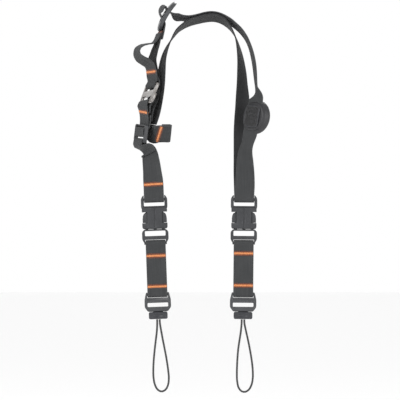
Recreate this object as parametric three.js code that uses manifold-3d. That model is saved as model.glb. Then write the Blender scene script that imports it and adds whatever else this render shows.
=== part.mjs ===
// A camera strap worn round the neck: 20 mm webbing doubled over the neck, an oval slide adjuster,
// a pad, a bypass strap with its hook buckle, and two fastened side-release buckles that carry the
// sewn tabs, frames, clamps and cord loops. X is to the wearer's left, Z is up, -Y is the chest side.
import * as THREE from "three";
import { mergeVertices } from "three/addons/utils/BufferGeometryUtils.js";
import Module from "manifold-3d";

const wasm = await Module();
wasm.setup();

// Driving sizes, in millimetres
const WEB_WIDTH = 20; // every length of webbing
const WEB_THICK = 1.3;
const GAP = 0.3; // between pieces that touch on the real strap
const SEWN_GAP = 0.3; // between two layers that are sewn together
const LOOP_WIDTH = 100; // between the outer strands, at the height of the ears
const LOOP_DROP = 200; // from the neck rest to the middle of the buckles
const LEAN = 20; // how far the top of the loop lies behind the buckles
const RAIL = 2.9; // side rail of every frame
const SLOT_CLEAR = 0.6; // a slot is this much wider than the webbing
const BAR_DIAMETER = 3; // bar that webbing is folded round
const FRAME_THICK = 3.6;
const BODY_THICK = 7.2; // socket half of a side-release buckle
const BODY_LENGTH = 23;
const PRONG_LENGTH = 18;
const TAB_LENGTH = 51.3; // sewn tab, between its two bars
const CORD_DIAMETER = 2;
const CLAMP_WIDTH = 18.8;
const CLAMP_HEIGHT = 7.2;
const CLAMP_THICK = 6;
const PATCH_SIZE = 24; // hook-and-loop patch of the pad
const PAD_DIAMETER = 34;
const PAD_THICK = 11;
const PAD_FACE = 28; // front face of the pad, round the patch
const SLIDER_LENGTH = 34;
const SLIDER_THICK = 4;
const HOOK_HEIGHT = 23;

// Sizes that follow from them
const SLOT_WIDTH = WEB_WIDTH + SLOT_CLEAR;
const FRAME_WIDTH = SLOT_WIDTH + 2 * RAIL;
const BAR_RADIUS = BAR_DIAMETER / 2;
const WRAP_RADIUS = BAR_RADIUS + GAP + WEB_THICK / 2; // middle of the webbing round a bar

const WEBBING = { color: "#3f4041", roughness: 0.85, metalness: 0 };
const PLASTIC = { color: "#3a3b3d", roughness: 0.45, metalness: 0 };
const PALE_PLASTIC = { color: "#8a8886", roughness: 0.35, metalness: 0 };
const CORD = { color: "#1c1c1d", roughness: 0.8, metalness: 0 };
const PILE = { color: "#161616", roughness: 1, metalness: 0 };

const strap = new THREE.Group();

// Solids by manifold-3d, which only joins and cuts here
function solid(geometry) {
  const plain = geometry.index ? geometry.toNonIndexed() : geometry.clone();
  plain.deleteAttribute("normal");
  plain.deleteAttribute("uv");
  const merged = mergeVertices(plain, 1e-4);
  const mesh = new wasm.Mesh({
    numProp: 3,
    vertProperties: merged.attributes.position.array,
    triVerts: new Uint32Array(merged.index.array),
  });
  return new wasm.Manifold(mesh);
}

function geometryOf(made) {
  const mesh = made.getMesh();
  const geometry = new THREE.BufferGeometry();
  geometry.setAttribute("position", new THREE.BufferAttribute(new Float32Array(mesh.vertProperties), 3));
  geometry.setIndex(new THREE.BufferAttribute(new Uint32Array(mesh.triVerts), 1));
  return geometry;
}

function addMesh(parent, name, geometry, finish) {
  const mesh = new THREE.Mesh(geometry, new THREE.MeshStandardMaterial(finish));
  mesh.name = name;
  parent.add(mesh);
  return mesh;
}

// A block between two heights, for cuts and plain bodies
function block(width, thick, bottom, top, x = 0, y = 0) {
  const box = new THREE.BoxGeometry(width, thick, top - bottom);
  box.translate(x, y, (top + bottom) / 2);
  return solid(box);
}

// A plate drawn in X and Z, centred on y = 0
function plate(shape, thick, bevel = 0.5, curveSegments = 4) {
  const settings = {
    depth: thick - 2 * bevel,
    bevelEnabled: bevel > 0,
    bevelThickness: bevel,
    bevelSize: bevel,
    bevelOffset: -bevel,
    bevelSegments: 1,
    curveSegments,
  };
  const geometry = new THREE.ExtrudeGeometry(shape, settings);
  geometry.rotateX(Math.PI / 2);
  geometry.translate(0, thick / 2 - bevel, 0);
  return geometry;
}

// An outline from its corner points, each rounded with the same radius
function rounded(points, radius) {
  const shape = new THREE.Shape();
  const corners = points.map(([x, z]) => new THREE.Vector2(x, z));
  corners.forEach((corner, i) => {
    const before = corners[(i + corners.length - 1) % corners.length];
    const after = corners[(i + 1) % corners.length];
    const reach = Math.min(radius, corner.distanceTo(before) / 2.1, corner.distanceTo(after) / 2.1);
    const enter = corner.clone().lerp(before, reach / corner.distanceTo(before));
    const leave = corner.clone().lerp(after, reach / corner.distanceTo(after));
    if (i === 0) shape.moveTo(enter.x, enter.y);
    else shape.lineTo(enter.x, enter.y);
    shape.quadraticCurveTo(corner.x, corner.y, leave.x, leave.y);
  });
  shape.closePath();
  return shape;
}

// A left-right symmetric outline from its right half, listed from the bottom up
function mirrored(half, radius) {
  const left = half.map(([x, z]) => [-x, z]).reverse();
  return rounded([...half, ...left], radius);
}

// A webbing slot right through a plate, with rounded corners
function slotCut(bottom, top, radius = 0.8) {
  const half = SLOT_WIDTH / 2;
  const outline = rounded([[-half, bottom], [half, bottom], [half, top], [-half, top]], radius);
  return solid(plate(outline, 4 * BODY_THICK, 0, 2));
}

// Webbing: a ribbon lofted through stations, each with its middle and its width direction
const V = (x, y, z) => new THREE.Vector3(x, y, z);

function ribbon(stations, closedWidth = WEB_WIDTH, step = 7) {
  const middles = new THREE.CatmullRomCurve3(stations.map((s) => s.middle), false, "centripetal");
  const sections = [];
  stations.forEach((station, i) => {
    if (i === stations.length - 1) return;
    const next = stations[i + 1];
    const parts = Math.max(1, Math.round(station.middle.distanceTo(next.middle) / step));
    for (let k = 0; k < parts; k++) {
      const share = k / parts;
      const at = (i + share) / (stations.length - 1);
      const across = station.across.clone().lerp(next.across, share);
      sections.push({ at, across });
    }
  });
  sections.push({ at: 1, across: stations[stations.length - 1].across.clone() });
  const corners = [];
  for (const { at, across } of sections) {
    const middle = middles.getPoint(at);
    const along = middles.getTangent(at);
    across.addScaledVector(along, -across.dot(along)).normalize();
    const through = along.clone().cross(across).normalize();
    for (const [w, t] of [[-1, -1], [1, -1], [1, 1], [-1, 1]]) {
      const corner = middle.clone();
      corner.addScaledVector(across, (w * closedWidth) / 2);
      corner.addScaledVector(through, (t * WEB_THICK) / 2);
      corners.push(corner.x, corner.y, corner.z);
    }
  }
  const faces = [0, 1, 2, 0, 2, 3];
  for (let s = 0; s < sections.length - 1; s++)
    for (let k = 0; k < 4; k++) {
      const a = 4 * s + k;
      const b = 4 * s + ((k + 1) % 4);
      // Both faces of the tape are split along the same diagonal, so that they stay apart in a twist
      if (k === 2) faces.push(a, a + 4, b + 4, a, b + 4, b);
      else faces.push(a, a + 4, b, b, a + 4, b + 4);
    }
  const end = 4 * (sections.length - 1);
  faces.push(end, end + 2, end + 1, end, end + 3, end + 2);
  const geometry = new THREE.BufferGeometry();
  geometry.setAttribute("position", new THREE.BufferAttribute(new Float32Array(corners), 3));
  geometry.setIndex(faces);
  if (solid(geometry).volume() < 0) geometry.setIndex(faces.reverse());
  return geometry;
}

// Rows of a strand's table: x is a share of LOOP_WIDTH, z of LOOP_DROP and depth of LEAN.
// turn is 0 where the webbing lies flat to the chest and 90 where only its edge shows from there.
// outward is 1 for a strand whose rows run round the loop from the right to the left, or else -1.
function strand(rows, outward, flip = 1) {
  return rows.map(({ x, z, depth, turn }, i) => {
    const next = rows[Math.min(i + 1, rows.length - 1)];
    const last = rows[Math.max(i - 1, 0)];
    const run = V((next.x - last.x) * LOOP_WIDTH, 0, (next.z - last.z) * LOOP_DROP).normalize();
    const angle = THREE.MathUtils.degToRad(turn);
    const across = V(outward * run.z, 0, -outward * run.x).multiplyScalar(Math.cos(angle));
    across.y += Math.sin(angle);
    across.multiplyScalar(flip);
    return { middle: V(x * LOOP_WIDTH, depth * LEAN, z * LOOP_DROP), across };
  });
}

// Stations round a bar that runs along a frame's own X, from one angle to another in its Y-Z plane
function wrap(frame, barZ, radius, fromAngle, toAngle, steps = 6) {
  frame.updateWorldMatrix(true, false);
  const stations = [];
  for (let i = 0; i <= steps; i++) {
    const angle = THREE.MathUtils.degToRad(fromAngle + ((toAngle - fromAngle) * i) / steps);
    stations.push(local(frame, radius * Math.cos(angle), barZ + radius * Math.sin(angle)));
  }
  return stations;
}

function local(frame, y, z, x = 0) {
  frame.updateWorldMatrix(true, false);
  const middle = V(x, y, z).applyMatrix4(frame.matrixWorld);
  const across = V(1, 0, 0).transformDirection(frame.matrixWorld);
  return { middle, across };
}

// The two hanging ends: each is turned a little, as it hangs from its webbing
const UPPER_BAR_Z = -0.9175 * LOOP_DROP;

function hangingEnd(x, tilt) {
  const frame = new THREE.Group();
  frame.position.set(x * LOOP_WIDTH, 0, UPPER_BAR_Z);
  frame.rotation.y = THREE.MathUtils.degToRad(tilt);
  strap.add(frame);
  return frame;
}

const rightEnd = hangingEnd(0.321, 0.54);
const leftEnd = hangingEnd(-0.58, -2.1);

// Heights down one hanging end, from the socket's bar at zero
const SLOT_OPENING = 5;
const SOCKET_TOP = BAR_RADIUS + 3;
const SOCKET_BODY_TOP = -BAR_RADIUS - SLOT_OPENING;
const SOCKET_BODY_END = SOCKET_BODY_TOP - BODY_LENGTH;
const PRONG_TOP = SOCKET_BODY_END - GAP;
const PRONG_END = PRONG_TOP - 15.2;
const TAB_BAR_TOP = PRONG_END + BAR_RADIUS;
const TAB_BAR_LOW = TAB_BAR_TOP - TAB_LENGTH;
const FRAME_TOP = TAB_BAR_LOW + BAR_RADIUS + 0.6;
const FRAME_END = FRAME_TOP - 19.4;
const BODY_HALF = FRAME_WIDTH / 2 - 0.6;
const HOLLOW_HALF = SLOT_WIDTH / 2 + 0.2;
const HOLLOW_THICK = 4.2;
const WINDOW_TOP = SOCKET_BODY_TOP - 6;
const WINDOW_END = WINDOW_TOP - 11;
const WINDOW_INNER = 0.58 * BODY_HALF;
const CENTRE_RIB = 3;

function bar(barZ, diameter = BAR_DIAMETER, length = SLOT_WIDTH + 2) {
  const rod = new THREE.CylinderGeometry(diameter / 2, diameter / 2, length, 12);
  rod.rotateZ(Math.PI / 2);
  rod.translate(0, 0, barZ);
  return solid(rod);
}

// Socket half: a slotted frame above a hollow body whose side windows show the prongs
function socketHalf() {
  const half = FRAME_WIDTH / 2;
  const outline = mirrored(
    [
      [BODY_HALF, SOCKET_BODY_TOP - 3],
      [half, SOCKET_BODY_TOP - 1],
      [half, SOCKET_TOP - 3.5],
      [half - 2.2, SOCKET_TOP],
    ],
    1.6,
  );
  const slot = slotCut(SOCKET_BODY_TOP, SOCKET_TOP + 1);
  const head = solid(plate(outline, FRAME_THICK)).subtract(slot);
  const bodyOutline = mirrored([[BODY_HALF, SOCKET_BODY_END], [BODY_HALF, SOCKET_BODY_TOP - 0.8]], 2.6);
  let body = solid(plate(bodyOutline, BODY_THICK, 1.1));
  const windowWidth = BODY_HALF - WINDOW_INNER + 2;
  const windowMiddle = WINDOW_INNER + windowWidth / 2;
  for (const side of [-1, 1])
    body = body.subtract(block(windowWidth, BODY_THICK + 2, WINDOW_END, WINDOW_TOP, side * windowMiddle));
  for (const face of [-1, 1]) {
    const grooveY = (face * BODY_THICK) / 2;
    body = body.subtract(block(1.2, 1.2, SOCKET_BODY_END + 1.5, SOCKET_BODY_TOP - 2.5, 0, grooveY));
  }
  const hollow = block(2 * HOLLOW_HALF, HOLLOW_THICK, SOCKET_BODY_END - 1, SOCKET_BODY_TOP - 3);
  return geometryOf(head.add(body).add(bar(0)).subtract(hollow));
}

// Prong half: a base with its bars, a centre rib and two spring arms that hook in the windows
function prongHalf() {
  const half = FRAME_WIDTH / 2;
  const outline = mirrored(
    [
      [half - 3, PRONG_END],
      [half, PRONG_END + 5],
      [half, PRONG_TOP - 2.4],
      [half - 2.4, PRONG_TOP],
    ],
    1.5,
  );
  const upperSlot = PRONG_TOP - 1.6;
  const middleBar = upperSlot - SLOT_OPENING;
  const middleBarEnd = TAB_BAR_TOP + WRAP_RADIUS + WEB_THICK / 2 + GAP;
  let made = solid(plate(outline, FRAME_THICK + 0.8, 0.7));
  made = made.subtract(slotCut(middleBar, upperSlot));
  made = made.subtract(slotCut(PRONG_END - 1, middleBarEnd, 0.4)).add(bar(TAB_BAR_TOP));
  const armThick = HOLLOW_THICK - 2 * GAP;
  made = made.add(block(CENTRE_RIB, armThick, PRONG_TOP - 1, PRONG_TOP + PRONG_LENGTH));
  for (const side of [-1, 1]) {
    const root = HOLLOW_HALF - GAP - 0.4;
    const arm = new THREE.Shape();
    arm.moveTo(side * (root - 3), PRONG_TOP - 1);
    arm.lineTo(side * root, PRONG_TOP - 1);
    arm.lineTo(side * (root - 0.4), WINDOW_END + GAP);
    arm.lineTo(side * (BODY_HALF - 0.5), WINDOW_END + GAP);
    arm.quadraticCurveTo(side * BODY_HALF, WINDOW_TOP - 1, side * (root - 0.6), WINDOW_TOP - 0.6);
    arm.lineTo(side * (root - 2.4), WINDOW_TOP + 2);
    arm.lineTo(side * (root - 3), WINDOW_TOP - 1);
    arm.closePath();
    made = made.add(solid(plate(arm, armThick, 0)));
  }
  return geometryOf(made);
}

// Sewn tab: webbing folded round two bars and sewn flat to itself between them
function sewnTab() {
  const outer = WRAP_RADIUS + WEB_THICK / 2;
  const flat = WEB_THICK + SEWN_GAP / 2;
  const taper = 7;
  const shape = new THREE.Shape();
  shape.absarc(0, TAB_BAR_TOP, outer, -0.25, Math.PI + 0.25, false);
  shape.lineTo(-flat, TAB_BAR_TOP - taper);
  shape.lineTo(-flat, TAB_BAR_LOW + taper);
  shape.absarc(0, TAB_BAR_LOW, outer, Math.PI - 0.25, 2 * Math.PI + 0.25, false);
  shape.lineTo(flat, TAB_BAR_LOW + taper);
  shape.lineTo(flat, TAB_BAR_TOP - taper);
  shape.closePath();
  for (const barZ of [TAB_BAR_TOP, TAB_BAR_LOW]) {
    const eye = new THREE.Path();
    eye.absarc(0, barZ, outer - WEB_THICK, 0, 2 * Math.PI, false);
    shape.holes.push(eye);
  }
  const settings = { depth: WEB_WIDTH, bevelEnabled: false, curveSegments: 8 };
  const geometry = new THREE.ExtrudeGeometry(shape, settings);
  geometry.translate(0, 0, -WEB_WIDTH / 2);
  geometry.rotateX(Math.PI / 2);
  geometry.rotateZ(Math.PI / 2);
  return geometry;
}

// Lower frame: a six-sided frame with two bars, and a pocket below for the clamp's tongue
const TONGUE_WIDTH = 10;
const TONGUE_LENGTH = 2.2;
const TONGUE_THICK = 1.6;

function lowerFrame() {
  const half = FRAME_WIDTH / 2;
  const neck = WEB_WIDTH / 2 + 1.4;
  const outline = mirrored(
    [
      [CLAMP_WIDTH / 2 + 0.6, FRAME_END],
      [half, FRAME_END + 4.4],
      [half, FRAME_TOP - 7.5],
      [neck, FRAME_TOP],
    ],
    1.4,
  );
  const webSlotEnd = TAB_BAR_LOW - BAR_RADIUS - 4.3;
  const lowBarEnd = webSlotEnd - 2.7;
  const slots = slotCut(webSlotEnd, FRAME_TOP + 1, 0.4).add(slotCut(lowBarEnd - 4, lowBarEnd));
  const pocketWidth = TONGUE_WIDTH + 2 * GAP;
  const pocketThick = TONGUE_THICK + 2 * GAP;
  const pocket = block(pocketWidth, pocketThick, FRAME_END - 1, FRAME_END + TONGUE_LENGTH + GAP);
  const rails = solid(plate(outline, FRAME_THICK, 0.6)).subtract(slots).subtract(pocket);
  const webEnd = TAB_BAR_LOW - WRAP_RADIUS - WEB_THICK / 2 - GAP;
  const lip = block(SLOT_WIDTH + 2, FRAME_THICK - 2.2, webSlotEnd - 0.5, webEnd);
  return geometryOf(rails.add(bar(TAB_BAR_LOW)).add(lip));
}

// Clamp: a block that holds both ends of the cord, with an oval dimple in front
const CLAMP_TOP = FRAME_END - GAP;
const CLAMP_END = CLAMP_TOP - CLAMP_HEIGHT;

function clamp() {
  const half = CLAMP_WIDTH / 2;
  const outline = mirrored([[half, CLAMP_END], [half, CLAMP_TOP]], 1.8);
  let made = solid(plate(outline, CLAMP_THICK, 0.7));
  made = made.add(block(TONGUE_WIDTH, TONGUE_THICK, CLAMP_TOP - 1, CLAMP_TOP + TONGUE_LENGTH));
  const dimple = new THREE.SphereGeometry(1, 16, 8);
  dimple.scale(4.6, 0.8, 1.7);
  dimple.translate(0, -CLAMP_THICK / 2, (CLAMP_TOP + CLAMP_END) / 2);
  return geometryOf(made.subtract(solid(dimple)));
}

// Cord loops: the middle of each cord, from one hole of its clamp round to the other.
// x is from the clamp's middle and drop is below its end, in millimetres.
const CORD_ROUTES = {
  right: [
    [-1.3, 0], [-1.35, 4], [-2, 12], [-3.3, 21], [-4.6, 31], [-5.3, 42], [-5.6, 54], [-5.2, 62],
    [-3.6, 68.5], [-0.4, 72], [3.4, 72.3], [7, 69.6], [9.4, 64.5], [10.4, 58], [10.2, 50],
    [9, 40], [7.2, 30], [5.1, 20], [3, 11], [1.5, 4], [1.3, 0],
  ],
  left: [
    [-1.3, 0], [-1.35, 4], [-2, 12], [-3.4, 21], [-4.9, 31], [-6.2, 41], [-6.9, 50], [-7, 58],
    [-5.9, 65], [-3.3, 70.2], [0.6, 72.2], [4.5, 70.6], [7.2, 66], [8.3, 59], [7.8, 50],
    [6.7, 40], [5.2, 30], [3.6, 20], [2.3, 11], [1.4, 4], [1.3, 0],
  ],
};

function cordLoop(frame, route) {
  const points = route.map(([x, drop]) => local(frame, 0, CLAMP_END - GAP - drop, x).middle);
  const path = new THREE.CatmullRomCurve3(points, false, "centripetal");
  const section = new THREE.Shape();
  section.absarc(0, 0, CORD_DIAMETER / 2, 0, 2 * Math.PI, false);
  const settings = { extrudePath: path, steps: 56, bevelEnabled: false, curveSegments: 4 };
  return new THREE.ExtrudeGeometry(section, settings);
}

for (const [side, frame] of Object.entries({ right: rightEnd, left: leftEnd })) {
  addMesh(frame, `${side}_buckle_socket`, socketHalf(), PLASTIC);
  addMesh(frame, `${side}_buckle_prongs`, prongHalf(), PLASTIC);
  addMesh(frame, `${side}_sewn_tab`, sewnTab(), WEBBING);
  addMesh(frame, `${side}_lower_frame`, lowerFrame(), PLASTIC);
  addMesh(frame, `${side}_cord_clamp`, clamp(), PLASTIC);
  addMesh(strap, `${side}_cord_loop`, cordLoop(frame, CORD_ROUTES[side]), CORD);
}

// A group turned so that its own X runs across and its own Z along the given directions
function frameOf(x, depth, z, across, along) {
  const frame = new THREE.Group();
  frame.position.set(x * LOOP_WIDTH, depth * LEAN, z * LOOP_DROP);
  const up = along.clone().normalize();
  const right = across.clone().addScaledVector(up, -across.dot(up)).normalize();
  const basis = new THREE.Matrix4().makeBasis(right, up.clone().cross(right), up);
  frame.quaternion.setFromRotationMatrix(basis);
  strap.add(frame);
  return frame;
}

// Oval slide adjuster, near the top on the left: a curved oval with a middle bar and two slots
const slider = frameOf(-0.47, 0.95, 0.005, V(0.07, -0.996, -0.04), V(0.5, 0, 0.866));
const SLIDER_BOW = 2.6;
const SLIDER_SLOT = 6;

function slideAdjuster() {
  const outline = new THREE.Shape();
  outline.absellipse(0, 0, FRAME_WIDTH / 2 + 1.6, SLIDER_LENGTH / 2, 0, 2 * Math.PI, false, 0);
  const inner = BAR_RADIUS + 0.2;
  const slots = slotCut(inner, inner + SLIDER_SLOT, 1.5).add(slotCut(-inner - SLIDER_SLOT, -inner, 1.5));
  const flat = geometryOf(solid(plate(outline, SLIDER_THICK, 1, 6)).subtract(slots).refineToLength(6));
  const spots = flat.attributes.position;
  for (let i = 0; i < spots.count; i++) {
    const share = spots.getZ(i) / (SLIDER_LENGTH / 2);
    spots.setY(i, spots.getY(i) + SLIDER_BOW * share * share);
  }
  return flat;
}
addMesh(slider, "slide_adjuster", slideAdjuster(), PLASTIC);

// Ladder lock, turned towards the left: a thin top bar, a flat middle bar and a round low bar
const lock = frameOf(-0.71, 0.1, -0.59, V(0.42, -0.907, 0), V(0.12, 0, 1));
const LOCK_TOP_BAR = 8.7;
const LOCK_LOW_BAR = -7.2;
const LOCK_MIDDLE_TOP = 5;
const LOCK_MIDDLE_END = -0.8;
const THIN_BAR_DIAMETER = 1.8;
const LOCK_BAR_THICK = 2.4;

function ladderLock() {
  const half = FRAME_WIDTH / 2;
  const top = LOCK_TOP_BAR + THIN_BAR_DIAMETER / 2;
  const end = LOCK_LOW_BAR - BAR_RADIUS;
  const outline = mirrored([[half - 2, end], [half, end + 3], [half, top - 1.5], [half - 1, top]], 1);
  const rails = solid(plate(outline, FRAME_THICK, 0.6)).subtract(slotCut(end - 1, top + 1, 0.5));
  const middle = block(SLOT_WIDTH + 2, LOCK_BAR_THICK, LOCK_MIDDLE_END, LOCK_MIDDLE_TOP);
  return geometryOf(rails.add(middle).add(bar(LOCK_TOP_BAR, THIN_BAR_DIAMETER)).add(bar(LOCK_LOW_BAR)));
}
addMesh(lock, "ladder_lock", ladderLock(), PLASTIC);

// Hook buckle of the bypass strap: two bars, a plate between its slots, and a hooked prong
const hook = frameOf(-0.631, 0.275, -0.39, V(0.49, -0.857, 0.16), V(0.35, 0.3, 0.887));
const HOOK_BAR = HOOK_HEIGHT / 2 - BAR_RADIUS;
const HOOK_SLOT = 5.5;

function hookBuckle() {
  const half = FRAME_WIDTH / 2;
  const outline = mirrored(
    [[half - 2.4, -HOOK_HEIGHT / 2], [half - 0.6, -2], [half, HOOK_HEIGHT / 2 - 2], [half - 1.5, HOOK_HEIGHT / 2]],
    1.2,
  );
  let made = solid(plate(outline, FRAME_THICK - 0.6, 0.5));
  for (const side of [-1, 1]) {
    const ends = [side * HOOK_HEIGHT, side * (HOOK_BAR - BAR_RADIUS - HOOK_SLOT)].sort((a, b) => a - b);
    made = made.subtract(slotCut(...ends)).add(bar(side * HOOK_BAR));
  }
  const prong = new THREE.Shape();
  prong.moveTo(half - 3, 1);
  prong.lineTo(half + 2, -1);
  prong.quadraticCurveTo(half + 3.4, -6, half + 0.6, 1 - HOOK_HEIGHT / 2);
  prong.lineTo(half - 1, 1.8 - HOOK_HEIGHT / 2);
  prong.quadraticCurveTo(half + 1, -6, half - 1, -3);
  prong.closePath();
  made = made.add(solid(plate(prong, FRAME_THICK - 1, 0)));
  return geometryOf(made);
}
addMesh(hook, "bypass_hook_buckle", hookBuckle(), PALE_PLASTIC);

// Pad on the outer strand: a round cushion whose webbing channel lies just behind its front face
const pad = frameOf(0.42, -0.6, -0.5035, V(0.695, -0.719, 0), V(0.17, 0, 1));
const CHANNEL_THICK = WEB_THICK + 2 * GAP;
const CHANNEL_DEPTH = 2.4; // from the front face to the webbing's middle
const PATCH_THICK = 1.2;

function padBody() {
  const radius = PAD_DIAMETER / 2;
  const face = PAD_FACE / 2;
  const front = -CHANNEL_DEPTH;
  const profile = [[0, front], [face, front], [face + 1.2, front + 1.2], [radius - 0.6, front + 4.4],
    [radius, front + 6.6], [radius - 1.4, front + 9.4], [radius - 4, front + PAD_THICK], [0, front + PAD_THICK]];
  const turned = new THREE.LatheGeometry(profile.map(([r, y]) => new THREE.Vector2(r, y)).reverse(), 24);
  const body = solid(turned);
  const round = body.volume() < 0 ? solid(turned.scale(1, 1, -1)) : body;
  const channel = block(SLOT_WIDTH, CHANNEL_THICK, -radius - 1, radius + 1, -1.5);
  return geometryOf(round.subtract(channel));
}
addMesh(pad, "pad_body", padBody(), PLASTIC);

function padPatch() {
  const half = PATCH_SIZE / 2 - 2;
  const shape = rounded([[-half, -half - 1], [half, -half - 1], [half, half + 1], [-half, half + 1]], 5);
  const geometry = plate(shape, PATCH_THICK, 0.3);
  geometry.translate(0, -CHANNEL_DEPTH - GAP - PATCH_THICK / 2, 0);
  return geometry;
}
addMesh(pad, "pad_patch", padPatch(), PILE);

// Outer strand: sewn end, through the slider, over the neck, through the pad, round the right bar
const SEWN_END = [
  { x: -0.52, z: -0.115, depth: 0.9, turn: 77 },
  { x: -0.505, z: -0.09, depth: 0.92, turn: 79 },
  { x: -0.488, z: -0.0625, depth: 0.94, turn: 83 },
];
const OUTER_ARCH = [
  { x: -0.355, z: -0.0015, depth: 0.98, turn: 112 },
  { x: -0.29, z: -0.007, depth: 1, turn: 105 },
  { x: -0.22, z: -0.011, depth: 1.03, turn: 108 },
  { x: -0.14, z: -0.006, depth: 1.05, turn: 111 },
  { x: -0.07, z: 0.0025, depth: 1.07, turn: 112 },
  { x: 0, z: 0.0065, depth: 1.08, turn: 112 },
  { x: 0.06, z: 0.0025, depth: 1.06, turn: 111 },
  { x: 0.12, z: -0.0085, depth: 1.02, turn: 109 },
  { x: 0.18, z: -0.0245, depth: 0.96, turn: 106 },
  { x: 0.24, z: -0.048, depth: 0.86, turn: 103 },
  { x: 0.295, z: -0.075, depth: 0.74, turn: 101 },
  { x: 0.343, z: -0.11, depth: 0.6, turn: 98 },
  { x: 0.379, z: -0.1515, depth: 0.42, turn: 97 },
  { x: 0.406, z: -0.2, depth: 0.24, turn: 98 },
  { x: 0.424, z: -0.25, depth: 0.06, turn: 98 },
  { x: 0.436, z: -0.31, depth: -0.16, turn: 96 },
  { x: 0.443, z: -0.365, depth: -0.35, turn: 93 },
];
const OUTER_FRONT = [
  { x: 0.353, z: -0.64, depth: -0.53, turn: 125 },
  { x: 0.335, z: -0.68, depth: -0.48, turn: 133 },
  { x: 0.331, z: -0.72, depth: -0.42, turn: 143 },
  { x: 0.331, z: -0.77, depth: -0.34, turn: 154 },
  { x: 0.33, z: -0.82, depth: -0.25, turn: 165 },
  { x: 0.327, z: -0.86, depth: -0.165, turn: 174 },
];
const LOOP_ACROSS = V(0.19, -0.976, -0.11);

// A station of the loose loop beside the slider, where the webbing leans a little
function leaning(station) {
  return { middle: station.middle, across: LOOP_ACROSS.clone() };
}
const CHANNEL_REACH = PAD_DIAMETER / 2 - 0.5; // the webbing stays flat from edge to edge of the pad
const outerStations = [
  ...strand(SEWN_END, -1, -1),
  local(slider, 3, -6.6),
  local(slider, 0, -4.7),
  local(slider, -3, -2.8),
  local(slider, -5.8, -0.6),
  leaning(local(slider, -6.2, 2.2)),
  leaning(local(slider, -6.5, 5.6)),
  leaning(local(slider, -5.2, 8.3)),
  local(slider, -3, 6.9),
  local(slider, 0, 5.1),
  local(slider, 3.4, 5.4),
  ...strand(OUTER_ARCH, -1, -1),
  local(pad, 0, CHANNEL_REACH, -1.5),
  local(pad, 0, CHANNEL_REACH / 2, -1.5),
  local(pad, 0, -CHANNEL_REACH / 2, -1.5),
  local(pad, 0, -CHANNEL_REACH, -1.5),
  ...strand(OUTER_FRONT, -1, -1),
  local(rightEnd, -WRAP_RADIUS, 3),
  ...wrap(rightEnd, 0, WRAP_RADIUS, 180, 360),
  local(rightEnd, WRAP_RADIUS, 2),
];
addMesh(strap, "outer_strand", ribbon(outerStations), WEBBING);

const NECK_DROP = 0.005; // middle of the inner strand below the loop's top, as a share of LOOP_DROP

// Inner strand: from behind the right bar over the neck and down to the ladder lock
const INNER_ROWS = [
  { x: 0.32, z: -0.87, depth: 0.15, turn: 3 },
  { x: 0.317, z: -0.83, depth: 0.2, turn: 8 },
  { x: 0.313, z: -0.78, depth: 0.25, turn: 13 },
  { x: 0.311, z: -0.72, depth: 0.3, turn: 19 },
  { x: 0.308, z: -0.64, depth: 0.35, turn: 24 },
  { x: 0.306, z: -0.57, depth: 0.38, turn: 28 },
  { x: 0.307, z: -0.505, depth: 0.41, turn: 35 },
  { x: 0.307, z: -0.46, depth: 0.44, turn: 42 },
  { x: 0.306, z: -0.4, depth: 0.48, turn: 49 },
  { x: 0.303, z: -0.34, depth: 0.53, turn: 58 },
  { x: 0.299, z: -0.28, depth: 0.6, turn: 64 },
  { x: 0.289, z: -0.22, depth: 0.68, turn: 72 },
  { x: 0.273, z: -0.17, depth: 0.75, turn: 79 },
  { x: 0.251, z: -0.125, depth: 0.82, turn: 86 },
  { x: 0.229, z: -0.095, depth: 0.86, turn: 90 },
  { x: 0.195, z: -0.065, depth: 0.91, turn: 95 },
  { x: 0.155, z: -0.04, depth: 0.95, turn: 102 },
  { x: 0.11, z: -0.021, depth: 0.98, turn: 108 },
  { x: 0.06, z: -0.0095, depth: 1, turn: 111 },
  { x: 0, z: -NECK_DROP, depth: 1, turn: 112 },
  { x: -0.07, z: -0.009, depth: 1, turn: 111 },
  { x: -0.14, z: -0.017, depth: 0.99, turn: 110 },
  { x: -0.22, z: -0.029, depth: 0.965, turn: 108 },
  { x: -0.29, z: -0.048, depth: 0.925, turn: 103 },
  { x: -0.35, z: -0.0725, depth: 0.875, turn: 98 },
  { x: -0.41, z: -0.1175, depth: 0.8, turn: 90 },
  { x: -0.445, z: -0.15, depth: 0.76, turn: 84 },
  { x: -0.472, z: -0.185, depth: 0.715, turn: 79 },
  { x: -0.49, z: -0.22, depth: 0.675, turn: 75 },
  { x: -0.506, z: -0.28, depth: 0.6, turn: 68 },
  { x: -0.521, z: -0.34, depth: 0.525, turn: 62 },
  { x: -0.54, z: -0.4, depth: 0.45, turn: 59 },
  { x: -0.561, z: -0.46, depth: 0.375, turn: 59 },
  { x: -0.584, z: -0.505, depth: 0.315, turn: 59 },
  { x: -0.607, z: -0.54, depth: 0.275, turn: 60 },
];
const innerStations = [
  local(rightEnd, WRAP_RADIUS, 2 + GAP),
  local(rightEnd, WRAP_RADIUS + 0.1, 5),
  ...strand(INNER_ROWS, 1),
];
addMesh(strap, "inner_strand", ribbon(innerStations), WEBBING);

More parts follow.
